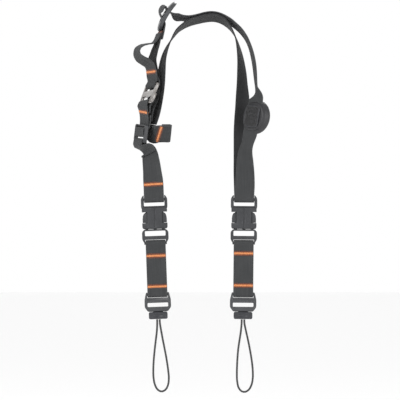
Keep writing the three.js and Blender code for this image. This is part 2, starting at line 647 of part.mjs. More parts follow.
// Left outer webbing: sewn to the outer strand below the slider, and again above the ladder lock
const LAYER = WEB_THICK + GAP + 0.1;
const LEFT_OUTER_ROWS = [
  { x: -0.517, z: -0.08, depth: 0.92, turn: 79 },
  { x: -0.53, z: -0.1, depth: 0.9, turn: 78 },
  { x: -0.542, z: -0.1185, depth: 0.88, turn: 76 },
  { x: -0.55, z: -0.134, depth: 0.86, turn: 75 },
  { x: -0.559, z: -0.148, depth: 0.84, turn: 74 },
  { x: -0.573, z: -0.1675, depth: 0.81, turn: 72 },
  { x: -0.586, z: -0.19, depth: 0.78, turn: 70 },
  { x: -0.6, z: -0.2175, depth: 0.75, turn: 66 },
  { x: -0.593, z: -0.26, depth: 0.74, turn: 62 },
  { x: -0.573, z: -0.31, depth: 0.74, turn: 60 },
  { x: -0.569, z: -0.36, depth: 0.69, turn: 59 },
  { x: -0.589, z: -0.41, depth: 0.56, turn: 59 },
];
const lockBack = WEB_THICK / 2 + LOCK_BAR_THICK / 2 + GAP;
const leftOuterStations = [
  ...strand(LEFT_OUTER_ROWS, 1, -1),
  local(lock, lockBack + 2.3 * LAYER, 24),
  local(lock, lockBack + 2.1 * LAYER, 14),
];
addMesh(strap, "left_outer_webbing", ribbon(leftOuterStations), WEBBING);

// Bypass strap, upper length: from the sewn joint in a loop to the left, down round the hook's bar
const BYPASS_ROWS = [
  { x: -0.535, z: -0.084, depth: 0.92, turn: 79 },
  { x: -0.5475, z: -0.102, depth: 0.9, turn: 79 },
  { x: -0.566, z: -0.12, depth: 0.88, turn: 82 },
  { x: -0.595, z: -0.133, depth: 0.84, turn: 86 },
  { x: -0.645, z: -0.1375, depth: 0.78, turn: 87 },
  { x: -0.704, z: -0.145, depth: 0.7, turn: 83 },
  { x: -0.741, z: -0.16, depth: 0.62, turn: 76 },
  { x: -0.752, z: -0.1825, depth: 0.55, turn: 71 },
  { x: -0.735, z: -0.205, depth: 0.48, turn: 68 },
  { x: -0.69, z: -0.2225, depth: 0.42, turn: 66 },
  { x: -0.64, z: -0.2375, depth: 0.39, turn: 63 },
  { x: -0.614, z: -0.2575, depth: 0.39, turn: 61 },
  { x: -0.602, z: -0.3, depth: 0.4, turn: 60 },
];
const BYPASS_SEWN_BACK = [
  { x: -0.592, z: -0.305, depth: 0.48, turn: 60 },
  { x: -0.602, z: -0.27, depth: 0.48, turn: 61 },
];
const SEWN_REACH = 14; // from a bar to the end of the webbing that is sewn back
const bypassUpperStations = [
  ...strand(BYPASS_ROWS, 1, -1),
  local(hook, -WRAP_RADIUS + 0.6, HOOK_BAR + 3.5),
  ...wrap(hook, HOOK_BAR, WRAP_RADIUS, 180, 360),
  local(hook, WRAP_RADIUS - 0.6, HOOK_BAR + 3.5),
  ...strand(BYPASS_SEWN_BACK, -1, -1),
];
addMesh(strap, "bypass_upper_webbing", ribbon(bypassUpperStations), WEBBING);

// Bypass strap, lower length: round the lock's flat bar, and up round the hook's lower bar
const lockTopY = THIN_BAR_DIAMETER / 2 + GAP + WEB_THICK / 2;
const bypassLowerStations = [
  local(lock, lockTopY + LAYER + 0.4, 20),
  local(lock, lockTopY + LAYER + 0.4, LOCK_TOP_BAR),
  local(lock, lockBack + 0.5, LOCK_MIDDLE_TOP),
  local(lock, lockBack, 1),
  local(lock, lockBack - 0.5, LOCK_MIDDLE_END - 0.9),
  local(lock, 0, LOCK_MIDDLE_END - 1.5),
  local(lock, 0.5 - lockBack, LOCK_MIDDLE_END - 0.9),
  local(lock, -lockBack, 1),
  local(lock, -lockBack, LOCK_MIDDLE_TOP - 1),
  local(lock, 0.5 - lockBack, LOCK_MIDDLE_TOP + 0.9),
  local(lock, 0.1, LOCK_MIDDLE_TOP + 1.45),
  local(lock, lockTopY - 0.1, LOCK_TOP_BAR - 1.4),
  local(lock, lockTopY + 0.25, LOCK_TOP_BAR),
  local(lock, lockTopY - 0.2, 15),
  local(lock, 0.2, 21),
  local(hook, -WRAP_RADIUS + 0.2, -HOOK_BAR - 3.5),
  ...wrap(hook, -HOOK_BAR, WRAP_RADIUS, 180, 0),
  local(hook, WRAP_RADIUS - 0.2, -HOOK_BAR - 3.5),
  local(lock, 2.3, 23),
];
addMesh(strap, "bypass_lower_webbing", ribbon(bypassLowerStations), WEBBING);

// Left upper webbing: sewn behind the left buckle's bar, up in front and round the lock's low bar
const LEFT_UPPER_ROWS = [
  { x: -0.597, z: -0.78, depth: -0.02, turn: 22 },
  { x: -0.609, z: -0.73, depth: 0.02, turn: 30 },
  { x: -0.622, z: -0.69, depth: 0.06, turn: 38 },
  { x: -0.637, z: -0.672, depth: 0.09, turn: 45 },
];
const LEFT_SEWN_BACK = [
  { x: -0.6495, z: -0.672, depth: 0.028, turn: 45 },
  { x: -0.634, z: -0.69, depth: -0.01, turn: 38 },
];
const leftUpperStations = [
  local(leftEnd, LAYER / 2, SEWN_REACH + 2),
  local(leftEnd, LAYER / 2 + 0.2, 8),
  ...wrap(leftEnd, 0, WRAP_RADIUS, 0, -180),
  local(leftEnd, -LAYER / 2 - 0.2, 8),
  local(leftEnd, -LAYER / 2, SEWN_REACH),
  ...strand(LEFT_UPPER_ROWS, -1, -1),
  local(lock, WRAP_RADIUS + 0.9, LOCK_LOW_BAR - 5.5),
  local(lock, WRAP_RADIUS + 0.2, LOCK_LOW_BAR - 2.5),
  ...wrap(lock, LOCK_LOW_BAR, WRAP_RADIUS, 0, 180),
  local(lock, -WRAP_RADIUS - 0.1, LOCK_LOW_BAR - 2.5),
  local(lock, -WRAP_RADIUS + 0.4, LOCK_LOW_BAR - 5),
  ...strand(LEFT_SEWN_BACK, 1, -1),
];
addMesh(strap, "left_upper_webbing", ribbon(leftUpperStations), WEBBING);

// Pull tab: the free end, turned to the right, twisted flat and folded back on itself
const TAB_ROWS = [
  { x: -0.608, z: -0.5419, depth: 0.272, wx: -0.475, wy: 0.866, wz: 0.156 },
  { x: -0.6178, z: -0.5563, depth: 0.256, wx: -0.475, wy: 0.866, wz: 0.156 },
  { x: -0.6145, z: -0.5765, depth: 0.24, wx: -0.52, wy: 0.81, wz: -0.2 },
  { x: -0.6, z: -0.5905, depth: 0.19, wx: -0.5, wy: 0.64, wz: -0.57 },
  { x: -0.58, z: -0.5925, depth: 0.14, wx: -0.3, wy: 0.57, wz: -0.77 },
  { x: -0.555, z: -0.5905, depth: 0.105, wx: -0.14, wy: 0.54, wz: -0.83 },
  { x: -0.51, z: -0.589, depth: 0.09, wx: -0.07, wy: 0.54, wz: -0.84 },
  { x: -0.47, z: -0.589, depth: 0.085, wx: -0.08, wy: 0.54, wz: -0.84 },
  { x: -0.4255, z: -0.5893, depth: 0.083, wx: -0.09, wy: 0.54, wz: -0.84 },
  { x: -0.4145, z: -0.5868, depth: 0.125, wx: -0.09, wy: 0.54, wz: -0.84 },
  { x: -0.4255, z: -0.5842, depth: 0.167, wx: -0.09, wy: 0.54, wz: -0.84 },
  { x: -0.47, z: -0.5836, depth: 0.169, wx: -0.08, wy: 0.54, wz: -0.84 },
  { x: -0.5, z: -0.5836, depth: 0.173, wx: -0.07, wy: 0.54, wz: -0.84 },
];
const tabStations = TAB_ROWS.map(({ x, z, depth, wx, wy, wz }) => ({
  middle: V(x * LOOP_WIDTH, depth * LEAN, z * LOOP_DROP),
  across: V(wx, wy, wz),
}));
addMesh(strap, "pull_tab", ribbon(tabStations, WEB_WIDTH, 4), WEBBING);

// The origin is where the strap rests on the neck: the underside of the inner strand's highest point
strap.position.set(0, -LEAN, NECK_DROP * LOOP_DROP + WEB_THICK / 2);

export default strap;
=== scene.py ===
# %% [markdown]
# A camera strap, worn round the neck, dressed over its CAD model.
# The webbing, the moulded hardware, the pad, the thread and the cords each get their own step.
# Every piece lies where the CAD model has it. Lengths are in metres, unless a name or a comment
# says millimetres.

# %% Load the frame
import math
import bpy
import numpy as np
from mathutils import Matrix, Vector


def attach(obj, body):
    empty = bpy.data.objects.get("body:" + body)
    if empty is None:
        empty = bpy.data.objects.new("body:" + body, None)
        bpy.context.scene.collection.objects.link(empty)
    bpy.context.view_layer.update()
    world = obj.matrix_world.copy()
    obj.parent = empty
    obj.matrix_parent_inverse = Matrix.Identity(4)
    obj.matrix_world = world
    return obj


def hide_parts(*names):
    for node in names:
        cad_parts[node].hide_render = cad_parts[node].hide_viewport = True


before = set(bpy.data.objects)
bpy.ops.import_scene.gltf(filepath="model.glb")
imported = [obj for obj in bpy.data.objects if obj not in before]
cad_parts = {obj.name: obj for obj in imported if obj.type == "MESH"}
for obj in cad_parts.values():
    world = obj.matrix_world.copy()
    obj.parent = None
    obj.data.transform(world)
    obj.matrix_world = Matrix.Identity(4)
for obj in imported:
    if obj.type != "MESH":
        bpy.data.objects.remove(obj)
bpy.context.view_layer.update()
scene = bpy.context.scene
print("loaded", len(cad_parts), "nodes")

# %% [markdown]
# The photograph was taken straight on with a long lens, so the camera stands far off.
# A frame 400 mm high at the buckles then gives one millimetre to each pixel. An orthographic
# camera would give the same scale, but a real lens keeps a trace of depth.

# %% Camera
MM = 0.001
LEAN = 20 * MM  # the buckles hang this far in front of the neck
NECK_LIFT = 1.65 * MM  # from the loop's top to the neck rest
CAMERA_DISTANCE = 6.0
FRAME_HEIGHT = 0.4
SENSOR_WIDTH = 36
FAR_LIMIT = 50
PICTURE_MIDDLE = 200  # column and row of the photograph's middle
NECK_COLUMN = 212  # column of the photograph under the loop's top
NECK_ROW = 16  # row of the photograph that the loop's top is on


def placed(name, data):
    """A new object in the scene, for a mesh, curve, light or camera."""
    made = bpy.data.objects.new(name, data)
    scene.collection.objects.link(made)
    return made


def pixel_row(y):
    """Height in millimetres of a row of the photograph."""
    return NECK_ROW - y + NECK_LIFT / MM


lens = bpy.data.cameras.new("long_lens")
lens.sensor_width = SENSOR_WIDTH
lens.lens = SENSOR_WIDTH * CAMERA_DISTANCE / FRAME_HEIGHT
lens.clip_end = FAR_LIMIT
camera = placed("camera", lens)
middle_column = (PICTURE_MIDDLE - NECK_COLUMN) * MM
camera.location = (middle_column, -LEAN - CAMERA_DISTANCE, pixel_row(PICTURE_MIDDLE) * MM)
camera.rotation_euler = (math.pi / 2, 0, 0)
scene.camera = camera
print("camera lens", round(lens.lens), "mm")

# %% [markdown]
# Every strap and cord follows a smooth curve through a few chosen places. A Bezier curve would
# need handles set by hand. A centripetal spline passes through its places without them, and it is
# the one in the CAD model, so the fine webbing stays on its solid.

# %% Smooth curve through chosen places
SHORTEST_STEP = 1e-5  # keeps two places at one spot from dividing by zero


def smooth_path(places, at):
    """Points of the spline through places, at the given numbers of places along it."""
    places = [np.array(p, float) for p in places]
    found = []
    for t in at:
        i = min(int(t), len(places) - 2)
        b, c = places[i], places[i + 1]
        a = places[i - 1] if i > 0 else 2 * b - c
        d = places[i + 2] if i + 2 < len(places) else 2 * c - b
        ab, bc, cd = (max(np.linalg.norm(q - p) ** 0.5, SHORTEST_STEP) for p, q in ((a, b), (b, c), (c, d)))
        leave = ((b - a) / ab - (c - a) / (ab + bc) + (c - b) / bc) * bc
        arrive = ((c - b) / bc - (d - b) / (bc + cd) + (d - c) / cd) * bc
        s = t - i
        square = -3 * b + 3 * c - 2 * leave - arrive
        cube = 2 * b - 2 * c + leave + arrive
        found.append(b + leave * s + square * s * s + cube * s * s * s)
    return np.array(found)


def fine_steps(places, step):
    """Numbers of places, a step apart along the path."""
    at = []
    for i in range(len(places) - 1):
        gap = np.linalg.norm(np.array(places[i + 1]) - np.array(places[i]))
        parts = max(1, round(gap / step))
        at += [i + k / parts for k in range(parts)]
    return at + [len(places) - 1]


# %% [markdown]
# Each hardware piece has a frame of its own: X runs along its bars, Z runs up the strap. An empty
# could hold it, but a matrix is enough, and the tape's stations round a bar can then be given in
# plain millimetres. The two hanging ends turn a little, and the pieces on the left stand nearly
# edge on to the camera.

# %% Frames of the hardware
LOOP_WIDTH = 100 * MM
LOOP_DROP = 200 * MM
BUCKLE_BAR = -0.9175  # share of the drop that the buckles' upper bars are at
SHIFT = Vector((0, -LEAN, NECK_LIFT))


def spot(x, depth, z):
    """A place on the loop, from its shares of width, lean and drop."""
    return Vector((x * LOOP_WIDTH, depth * LEAN, z * LOOP_DROP)) + SHIFT


def frame_of(x, depth, z, across, along):
    """A piece's frame at a place, from the directions along its bars and up the strap."""
    up = Vector(along).normalized()
    right = Vector(across)
    right = (right - up * right.dot(up)).normalized()
    turn = Matrix((right, up.cross(right), up)).transposed().to_4x4()
    return Matrix.Translation(spot(x, depth, z)) @ turn


def hanging_end(x, tilt):
    """The frame of a hanging end, tilted by some degrees as seen from the front."""
    place = Matrix.Translation(spot(x, 0, BUCKLE_BAR))
    return place @ Matrix.Rotation(math.radians(tilt), 4, "Y")


ENDS = {"right": hanging_end(0.321, 0.54), "left": hanging_end(-0.58, -2.1)}
SLIDER = frame_of(-0.47, 0.95, 0.005, (0.07, -0.996, -0.04), (0.5, 0, 0.866))
LOCK = frame_of(-0.71, 0.1, -0.59, (0.42, -0.907, 0), (0.12, 0, 1))
HOOK = frame_of(-0.631, 0.275, -0.39, (0.49, -0.857, 0.16), (0.35, 0.3, 0.887))
PAD = frame_of(0.42, -0.6, -0.5035, (0.695, -0.719, 0), (0.17, 0, 1))
print("frames for", len(ENDS) + len([SLIDER, LOCK, HOOK, PAD]), "groups of hardware")

# %% [markdown]
# Each cord loop is one length of thin braided cord, held by both ends in its clamp and hanging
# free below. A cloth or rope simulation could drape it, but the photograph shows its whole run. So
# its places are listed, and a round section is swept along them.

# %% Routes of the cord loops
GAP = 0.3 * MM  # between pieces that touch on the real strap
CORD_DIAMETER = 2 * MM
CORD_STEP = 1.6 * MM
CLAMP_END = -119.6  # below the buckle's bar, in millimetres
# x from the clamp's middle and drop below its end, in millimetres
CORD_ROUTES = {
    "right": [
        (-1.3, 0), (-1.35, 4), (-2, 12), (-3.3, 21), (-4.6, 31), (-5.3, 42), (-5.6, 54), (-5.2, 62),
        (-3.6, 68.5), (-0.4, 72), (3.4, 72.3), (7, 69.6), (9.4, 64.5), (10.4, 58), (10.2, 50),
        (9, 40), (7.2, 30), (5.1, 20), (3, 11), (1.5, 4), (1.3, 0),
    ],
    "left": [
        (-1.3, 0), (-1.35, 4), (-2, 12), (-3.4, 21), (-4.9, 31), (-6.2, 41), (-6.9, 50), (-7, 58),
        (-5.9, 65), (-3.3, 70.2), (0.6, 72.2), (4.5, 70.6), (7.2, 66), (8.3, 59), (7.8, 50),
        (6.7, 40), (5.2, 30), (3.6, 20), (2.3, 11), (1.4, 4), (1.3, 0),
    ],
}


def cord_places(side):
    """The cord's places, from a gap below its clamp, round and back, as in the CAD model."""
    start = CLAMP_END * MM - GAP
    places = [ENDS[side] @ Vector((x * MM, 0, start - drop * MM)) for x, drop in CORD_ROUTES[side]]
    rows = smooth_path(places, fine_steps(places, CORD_STEP))
    return [Vector(p) for p in rows]


def tube(name, points, radius, sides=14):
    """A closed round tube with a UV map: turns round it, and millimetres along it."""
    side_way = Vector((0, 1, 0))
    vertices, faces, distances = [], [], []
    along = 0.0
    for i, point in enumerate(points):
        ahead = points[min(i + 1, len(points) - 1)] - points[max(i - 1, 0)]
        ahead.normalize()
        side_way = (side_way - ahead * side_way.dot(ahead)).normalized()
        up_way = ahead.cross(side_way)
        if i:
            along += (point - points[i - 1]).length
        for k in range(sides):
            angle = 2 * math.pi * k / sides
            vertices.append(point + (side_way * math.cos(angle) + up_way * math.sin(angle)) * radius)
        distances.append(along / MM)
    for i in range(len(points) - 1):
        for k in range(sides):
            m = (k + 1) % sides
            faces.append((i * sides + k, i * sides + m, (i + 1) * sides + m, (i + 1) * sides + k))
    faces.append(tuple(reversed(range(sides))))
    faces.append(tuple(range(len(vertices) - sides, len(vertices))))
    mesh = bpy.data.meshes.new(name)
    mesh.from_pydata(vertices, [], faces)
    uv = mesh.uv_layers.new(name="lay")
    for face in mesh.polygons:
        closes_the_turn = len(face.vertices) == 4 and any(v % sides == sides - 1 for v in face.vertices)
        for corner in face.loop_indices:
            vertex = mesh.loops[corner].vertex_index
            k = vertex % sides
            if closes_the_turn and k == 0:
                k = sides
            uv.data[corner].uv = (k / sides, distances[vertex // sides])
    mesh.validate()
    mesh.shade_smooth()
    return placed(name, mesh), along


cords = {}
for side in ENDS:
    points = cord_places(side)
    piece, length = tube(f"{side}_cord", points, CORD_DIAMETER / 2)
    cords[side] = (piece, points, length)
    print(side, "cord", round(length / MM), "mm")

# %% [markdown]
# Webbing is a flat woven tape. It keeps its width and only bends and twists. A curve with a bevel
# shape could sweep it, but a curve's tilt is hard to steer where the tape turns edge on. So each
# length is swept here from stations, a middle and a direction across, with a rounded edge on both
# sides and a UV map in millimetres for the weave.

# %% Woven tape along stations
WEB_WIDTH = 20 * MM
WEB_THICK = 1.3 * MM
BAR_RADIUS = 1.5 * MM
WRAP_RADIUS = BAR_RADIUS + GAP + WEB_THICK / 2
LAYER = WEB_THICK + GAP + 0.1 * MM  # from the middle of one layer to the next


def tape_section():
    """Places round the tape's section: across, through, and the millimetres of its UV map."""
    half, thick = WEB_WIDTH / 2, WEB_THICK / 2
    upper = [(-1, 0), (-0.993, 0.42), (-0.972, 0.78), (-0.935, 1), (-0.88, 0.94), (-0.6, 0.98), (-0.2, 1)]
    upper += [(-x, z) for x, z in reversed(upper)]
    lower = [(-x, -z) for x, z in upper[1:-1]]
    return [(x * half, z * thick) for x, z in upper + lower]


def tape(name, stations, step=1.5 * MM):
    """A woven ribbon through stations (middle, across). Returns its object and its fine samples."""
    middles = [s[0] for s in stations]
    at = fine_steps(middles, step)
    path = smooth_path(middles, at)
    widths = smooth_path([s[1] for s in stations], at)
    section = tape_section()
    count = len(section)
    vertices, samples = [], []
    along = 0.0
    for i, middle in enumerate(path):
        ahead = Vector(path[min(i + 1, len(path) - 1)] - path[max(i - 1, 0)]).normalized()
        across = Vector(widths[i])
        across = (across - ahead * across.dot(ahead)).normalized()
        through = ahead.cross(across)
        middle = Vector(middle)
        if i:
            along += (middle - samples[-1][0]).length
        samples.append((middle, across, through, ahead, along))
        vertices += [middle + across * a + through * t for a, t in section]
    faces = []
    for i in range(len(path) - 1):
        for k in range(count):
            m = (k + 1) % count
            a, b = i * count, (i + 1) * count
            faces.append((a + k, a + m, b + m, b + k))
    last = len(vertices) - count
    faces.append(tuple(reversed(range(count))))
    faces.append(tuple(range(last, last + count)))
    mesh = bpy.data.meshes.new(name)
    mesh.from_pydata(vertices, [], faces)
    uv = mesh.uv_layers.new(name="lay")
    for corner in mesh.loops:
        row, place = divmod(corner.vertex_index, count)
        uv.data[corner.index].uv = (section[place][0] / MM, samples[row][4] / MM)
    mesh.shade_smooth()
    facing_out(mesh)
    return placed(name, mesh), samples


def facing_out(mesh):
    """Turns a closed mesh inside out if its faces point inwards."""
    mesh.calc_loop_triangles()
    volume = 0.0
    for triangle in mesh.loop_triangles:
        a, b, c = (mesh.vertices[v].co for v in triangle.vertices)
        volume += a.dot(b.cross(c))
    if volume < 0:
        mesh.flip_normals()


# %% [markdown]
# A free stretch lists its stations as shares of the loop's width, drop and lean, with the tape's
# turn at each. A stretch in hardware lists them in that piece's frame, and one helper lays them
# round a bar.

# %% Stations from the tables
def strand(rows, outward, flip=1):
    """Rows of x, z, depth and turn; turn is 0 flat to the chest and 90 where only the edge shows."""
    found = []
    for i, (x, z, depth, turn) in enumerate(rows):
        after = rows[min(i + 1, len(rows) - 1)]
        before = rows[max(i - 1, 0)]
        sideways, upwards = after[0] - before[0], after[1] - before[1]
        run = Vector((sideways * LOOP_WIDTH, 0, upwards * LOOP_DROP)).normalized()
        angle = math.radians(turn)
        across = Vector((outward * run.z, 0, -outward * run.x)) * math.cos(angle)
        across.y += math.sin(angle)
        found.append((spot(x, depth, z), across * flip))
    return found


def local(place, y, z, x=0.0):
    """A station in a piece's own frame, in millimetres."""
    return place @ (Vector((x, y, z)) * MM), place.to_3x3() @ Vector((1, 0, 0))


def wrap(place, bar_z, from_angle, to_angle, steps=8):
    """Stations round a bar, from one angle to another in its Y-Z plane."""
    radius = WRAP_RADIUS / MM
    found = []
    for i in range(steps + 1):
        angle = math.radians(from_angle + (to_angle - from_angle) * i / steps)
        found.append(local(place, radius * math.cos(angle), bar_z + radius * math.sin(angle)))
    return found


# %% [markdown]
# The outer strand starts at a sewn end, goes through the slide adjuster, over the neck,
# through the pad's channel and round the bar of the right buckle. Where it hangs free, a table
# gives its places. Inside hardware, the piece's own frame gives them, so it meets the bars.

# %% Outer strand
WRAP = WRAP_RADIUS / MM
SEWN_END = [
    (-0.52, -0.115, 0.9, 77),
    (-0.505, -0.09, 0.92, 79),
    (-0.488, -0.0625, 0.94, 83),
]
OUTER_ARCH = [
    (-0.355, -0.0015, 0.98, 112),
    (-0.29, -0.007, 1, 105),
    (-0.22, -0.011, 1.03, 108),
    (-0.14, -0.006, 1.05, 111),
    (-0.07, 0.0025, 1.07, 112),
    (0, 0.0065, 1.08, 112),
    (0.06, 0.0025, 1.06, 111),
    (0.12, -0.0085, 1.02, 109),
    (0.18, -0.0245, 0.96, 106),
    (0.24, -0.048, 0.86, 103),
    (0.295, -0.075, 0.74, 101),
    (0.343, -0.11, 0.6, 98),
    (0.379, -0.1515, 0.42, 97),
    (0.406, -0.2, 0.24, 98),
    (0.424, -0.25, 0.06, 98),
    (0.436, -0.31, -0.16, 96),
    (0.443, -0.365, -0.35, 93),
]
OUTER_FRONT = [
    (0.353, -0.64, -0.53, 125),
    (0.335, -0.68, -0.48, 133),
    (0.331, -0.72, -0.42, 143),
    (0.331, -0.77, -0.34, 154),
    (0.33, -0.82, -0.25, 165),
    (0.327, -0.86, -0.165, 174),
]
SLIDER_IN = [(3, -6.6), (0, -4.7), (-3, -2.8), (-5.8, -0.6)]
SLIDER_LOOP = [(-6.2, 2.2), (-6.5, 5.6), (-5.2, 8.3)]  # the loose loop, where the webbing leans a little
SLIDER_OUT = [(-3, 6.9), (0, 5.1), (3.4, 5.4)]
LOOP_ACROSS = Vector((0.19, -0.976, -0.11))
outer = strand(SEWN_END, -1, -1)
outer += [local(SLIDER, y, z) for y, z in SLIDER_IN]
outer += [(local(SLIDER, y, z)[0], LOOP_ACROSS) for y, z in SLIDER_LOOP]
outer += [local(SLIDER, y, z) for y, z in SLIDER_OUT]
outer += strand(OUTER_ARCH, -1, -1)
outer += [local(PAD, 0, z, -1.5) for z in (16.5, 8.25, -8.25, -16.5)]
outer += strand(OUTER_FRONT, -1, -1)
outer += [local(ENDS["right"], -WRAP, 3)]
outer += wrap(ENDS["right"], 0, 180, 360)
outer += [local(ENDS["right"], WRAP, 2)]
outer_strand, outer_samples = tape("outer_strand_webbing", outer)
print("outer strand", round(outer_samples[-1][4] / MM), "mm")

# %% [markdown]
# The inner strand starts behind the right buckle, goes over the neck and down to the ladder lock.
# It hangs free nearly all the way, so one table gives its places and how far it turns at each.

# %% Inner strand
INNER_ROWS = [
    (0.32, -0.87, 0.15, 3),
    (0.317, -0.83, 0.2, 8),
    (0.313, -0.78, 0.25, 13),
    (0.311, -0.72, 0.3, 19),
    (0.308, -0.64, 0.35, 24),
    (0.306, -0.57, 0.38, 28),
    (0.307, -0.505, 0.41, 35),
    (0.307, -0.46, 0.44, 42),
    (0.306, -0.4, 0.48, 49),
    (0.303, -0.34, 0.53, 58),
    (0.299, -0.28, 0.6, 64),
    (0.289, -0.22, 0.68, 72),
    (0.273, -0.17, 0.75, 79),
    (0.251, -0.125, 0.82, 86),
    (0.229, -0.095, 0.86, 90),
    (0.195, -0.065, 0.91, 95),
    (0.155, -0.04, 0.95, 102),
    (0.11, -0.021, 0.98, 108),
    (0.06, -0.0095, 1, 111),
    (0, -0.005, 1, 112),
    (-0.07, -0.009, 1, 111),
    (-0.14, -0.017, 0.99, 110),
    (-0.22, -0.029, 0.965, 108),
    (-0.29, -0.048, 0.925, 103),
    (-0.35, -0.0725, 0.875, 98),
    (-0.41, -0.1175, 0.8, 90),
    (-0.445, -0.15, 0.76, 84),
    (-0.472, -0.185, 0.715, 79),
    (-0.49, -0.22, 0.675, 75),
    (-0.506, -0.28, 0.6, 68),
    (-0.521, -0.34, 0.525, 62),
    (-0.54, -0.4, 0.45, 59),
    (-0.561, -0.46, 0.375, 59),
    (-0.584, -0.505, 0.315, 59),
    (-0.607, -0.54, 0.275, 60),
]
inner = [local(ENDS["right"], WRAP, 2.3), local(ENDS["right"], WRAP + 0.1, 5)]
inner += strand(INNER_ROWS, 1)
inner_strand, inner_samples = tape("inner_strand_webbing", inner)
print("inner strand", round(inner_samples[-1][4] / MM), "mm")

# %% [markdown]
# On the left a short outer webbing and the two lengths of the bypass strap hang side by side.
# The bypass is folded round both bars of its hook buckle and sewn back. Layers that touch on the
# real strap keep a small gap here, because two faces in one place flicker in a render.

# %% Left outer webbing
LAY = LAYER / MM
LOCK_BACK = 2.15  # from the lock's middle to the webbing on either side of its plate
LOCK_TOP_BAR = 8.7
LOCK_LOW_BAR = -7.2
LOCK_MIDDLE_TOP = 5
LOCK_MIDDLE_END = -0.8
LEFT_OUTER_ROWS = [
    (-0.517, -0.08, 0.92, 79),
    (-0.53, -0.1, 0.9, 78),
    (-0.542, -0.1185, 0.88, 76),
    (-0.55, -0.134, 0.86, 75),
    (-0.559, -0.148, 0.84, 74),
    (-0.573, -0.1675, 0.81, 72),
    (-0.586, -0.19, 0.78, 70),
    (-0.6, -0.2175, 0.75, 66),
    (-0.593, -0.26, 0.74, 62),
    (-0.573, -0.31, 0.74, 60),
    (-0.569, -0.36, 0.69, 59),
    (-0.589, -0.41, 0.56, 59),
]
left_outer = strand(LEFT_OUTER_ROWS, 1, -1)
left_outer += [local(LOCK, LOCK_BACK + 2.3 * LAY, 24), local(LOCK, LOCK_BACK + 2.1 * LAY, 14)]
left_outer_webbing, left_outer_samples = tape("left_outer_tape", left_outer)

# %% Bypass strap, upper length
HOOK_BAR = 10  # from the hook buckle's middle to each of its bars
BYPASS_ROWS = [
    (-0.535, -0.084, 0.92, 79),
    (-0.5475, -0.102, 0.9, 79),
    (-0.566, -0.12, 0.88, 82),
    (-0.595, -0.133, 0.84, 86),
    (-0.645, -0.1375, 0.78, 87),
    (-0.704, -0.145, 0.7, 83),
    (-0.741, -0.16, 0.62, 76),
    (-0.752, -0.1825, 0.55, 71),
    (-0.735, -0.205, 0.48, 68),
    (-0.69, -0.2225, 0.42, 66),
    (-0.64, -0.2375, 0.39, 63),
    (-0.614, -0.2575, 0.39, 61),
    (-0.602, -0.3, 0.4, 60),
]
BYPASS_SEWN_BACK = [
    (-0.592, -0.305, 0.48, 60),
    (-0.602, -0.27, 0.48, 61),
]
upper = strand(BYPASS_ROWS, 1, -1)
upper += [local(HOOK, 0.6 - WRAP, HOOK_BAR + 3.5)]
upper += wrap(HOOK, HOOK_BAR, 180, 360)
upper += [local(HOOK, WRAP - 0.6, HOOK_BAR + 3.5)]
upper += strand(BYPASS_SEWN_BACK, -1, -1)
bypass_upper, bypass_upper_samples = tape("bypass_upper_tape", upper)

# %% Bypass strap, lower length
LOCK_TOP_Y = 1.85  # how far the webbing lies behind the lock's middle at its top bar
lower = [
    local(LOCK, LOCK_TOP_Y + LAY + 0.4, 20),
    local(LOCK, LOCK_TOP_Y + LAY + 0.4, LOCK_TOP_BAR),
    local(LOCK, LOCK_BACK + 0.5, LOCK_MIDDLE_TOP),
    local(LOCK, LOCK_BACK, 1),
    local(LOCK, LOCK_BACK - 0.5, LOCK_MIDDLE_END - 0.9),
    local(LOCK, 0, LOCK_MIDDLE_END - 1.5),
    local(LOCK, 0.5 - LOCK_BACK, LOCK_MIDDLE_END - 0.9),
    local(LOCK, -LOCK_BACK, 1),
    local(LOCK, -LOCK_BACK, LOCK_MIDDLE_TOP - 1),
    local(LOCK, 0.5 - LOCK_BACK, LOCK_MIDDLE_TOP + 0.9),
    local(LOCK, 0.1, LOCK_MIDDLE_TOP + 1.45),
    local(LOCK, LOCK_TOP_Y - 0.1, LOCK_TOP_BAR - 1.4),
    local(LOCK, LOCK_TOP_Y + 0.25, LOCK_TOP_BAR),
    local(LOCK, LOCK_TOP_Y - 0.2, 15),
    local(LOCK, 0.2, 21),
    local(HOOK, 0.2 - WRAP, -HOOK_BAR - 3.5),
]
lower += wrap(HOOK, -HOOK_BAR, 180, 0)
lower += [local(HOOK, WRAP - 0.2, -HOOK_BAR - 3.5), local(LOCK, 2.3, 23)]
bypass_lower, bypass_lower_samples = tape("bypass_lower_tape", lower)

# %% [markdown]
# The left upper webbing joins the left buckle to the ladder lock and is folded back at both ends.
# The pull tab is the loose end beside the lock, folded over and sewn. It bends in two directions at
# once, so its table gives the direction of its width, which one angle can't.

# %% Left upper webbing and the pull tab
LEFT_UPPER_ROWS = [
    (-0.597, -0.78, -0.02, 22),
    (-0.609, -0.73, 0.02, 30),
    (-0.622, -0.69, 0.06, 38),
    (-0.637, -0.672, 0.09, 45),
]
LEFT_SEWN_BACK = [
    (-0.6495, -0.672, 0.028, 45),
    (-0.634, -0.69, -0.01, 38),
]
left_upper = [local(ENDS["left"], LAY / 2, 16), local(ENDS["left"], LAY / 2 + 0.2, 8)]
left_upper += wrap(ENDS["left"], 0, 0, -180)
left_upper += [local(ENDS["left"], -LAY / 2 - 0.2, 8), local(ENDS["left"], -LAY / 2, 14)]
left_upper += strand(LEFT_UPPER_ROWS, -1, -1)
left_upper += [local(LOCK, WRAP + 0.9, LOCK_LOW_BAR - 5.5), local(LOCK, WRAP + 0.2, LOCK_LOW_BAR - 2.5)]
left_upper += wrap(LOCK, LOCK_LOW_BAR, 0, 180)
left_upper += [local(LOCK, -WRAP - 0.1, LOCK_LOW_BAR - 2.5), local(LOCK, 0.4 - WRAP, LOCK_LOW_BAR - 5)]
left_upper += strand(LEFT_SEWN_BACK, 1, -1)
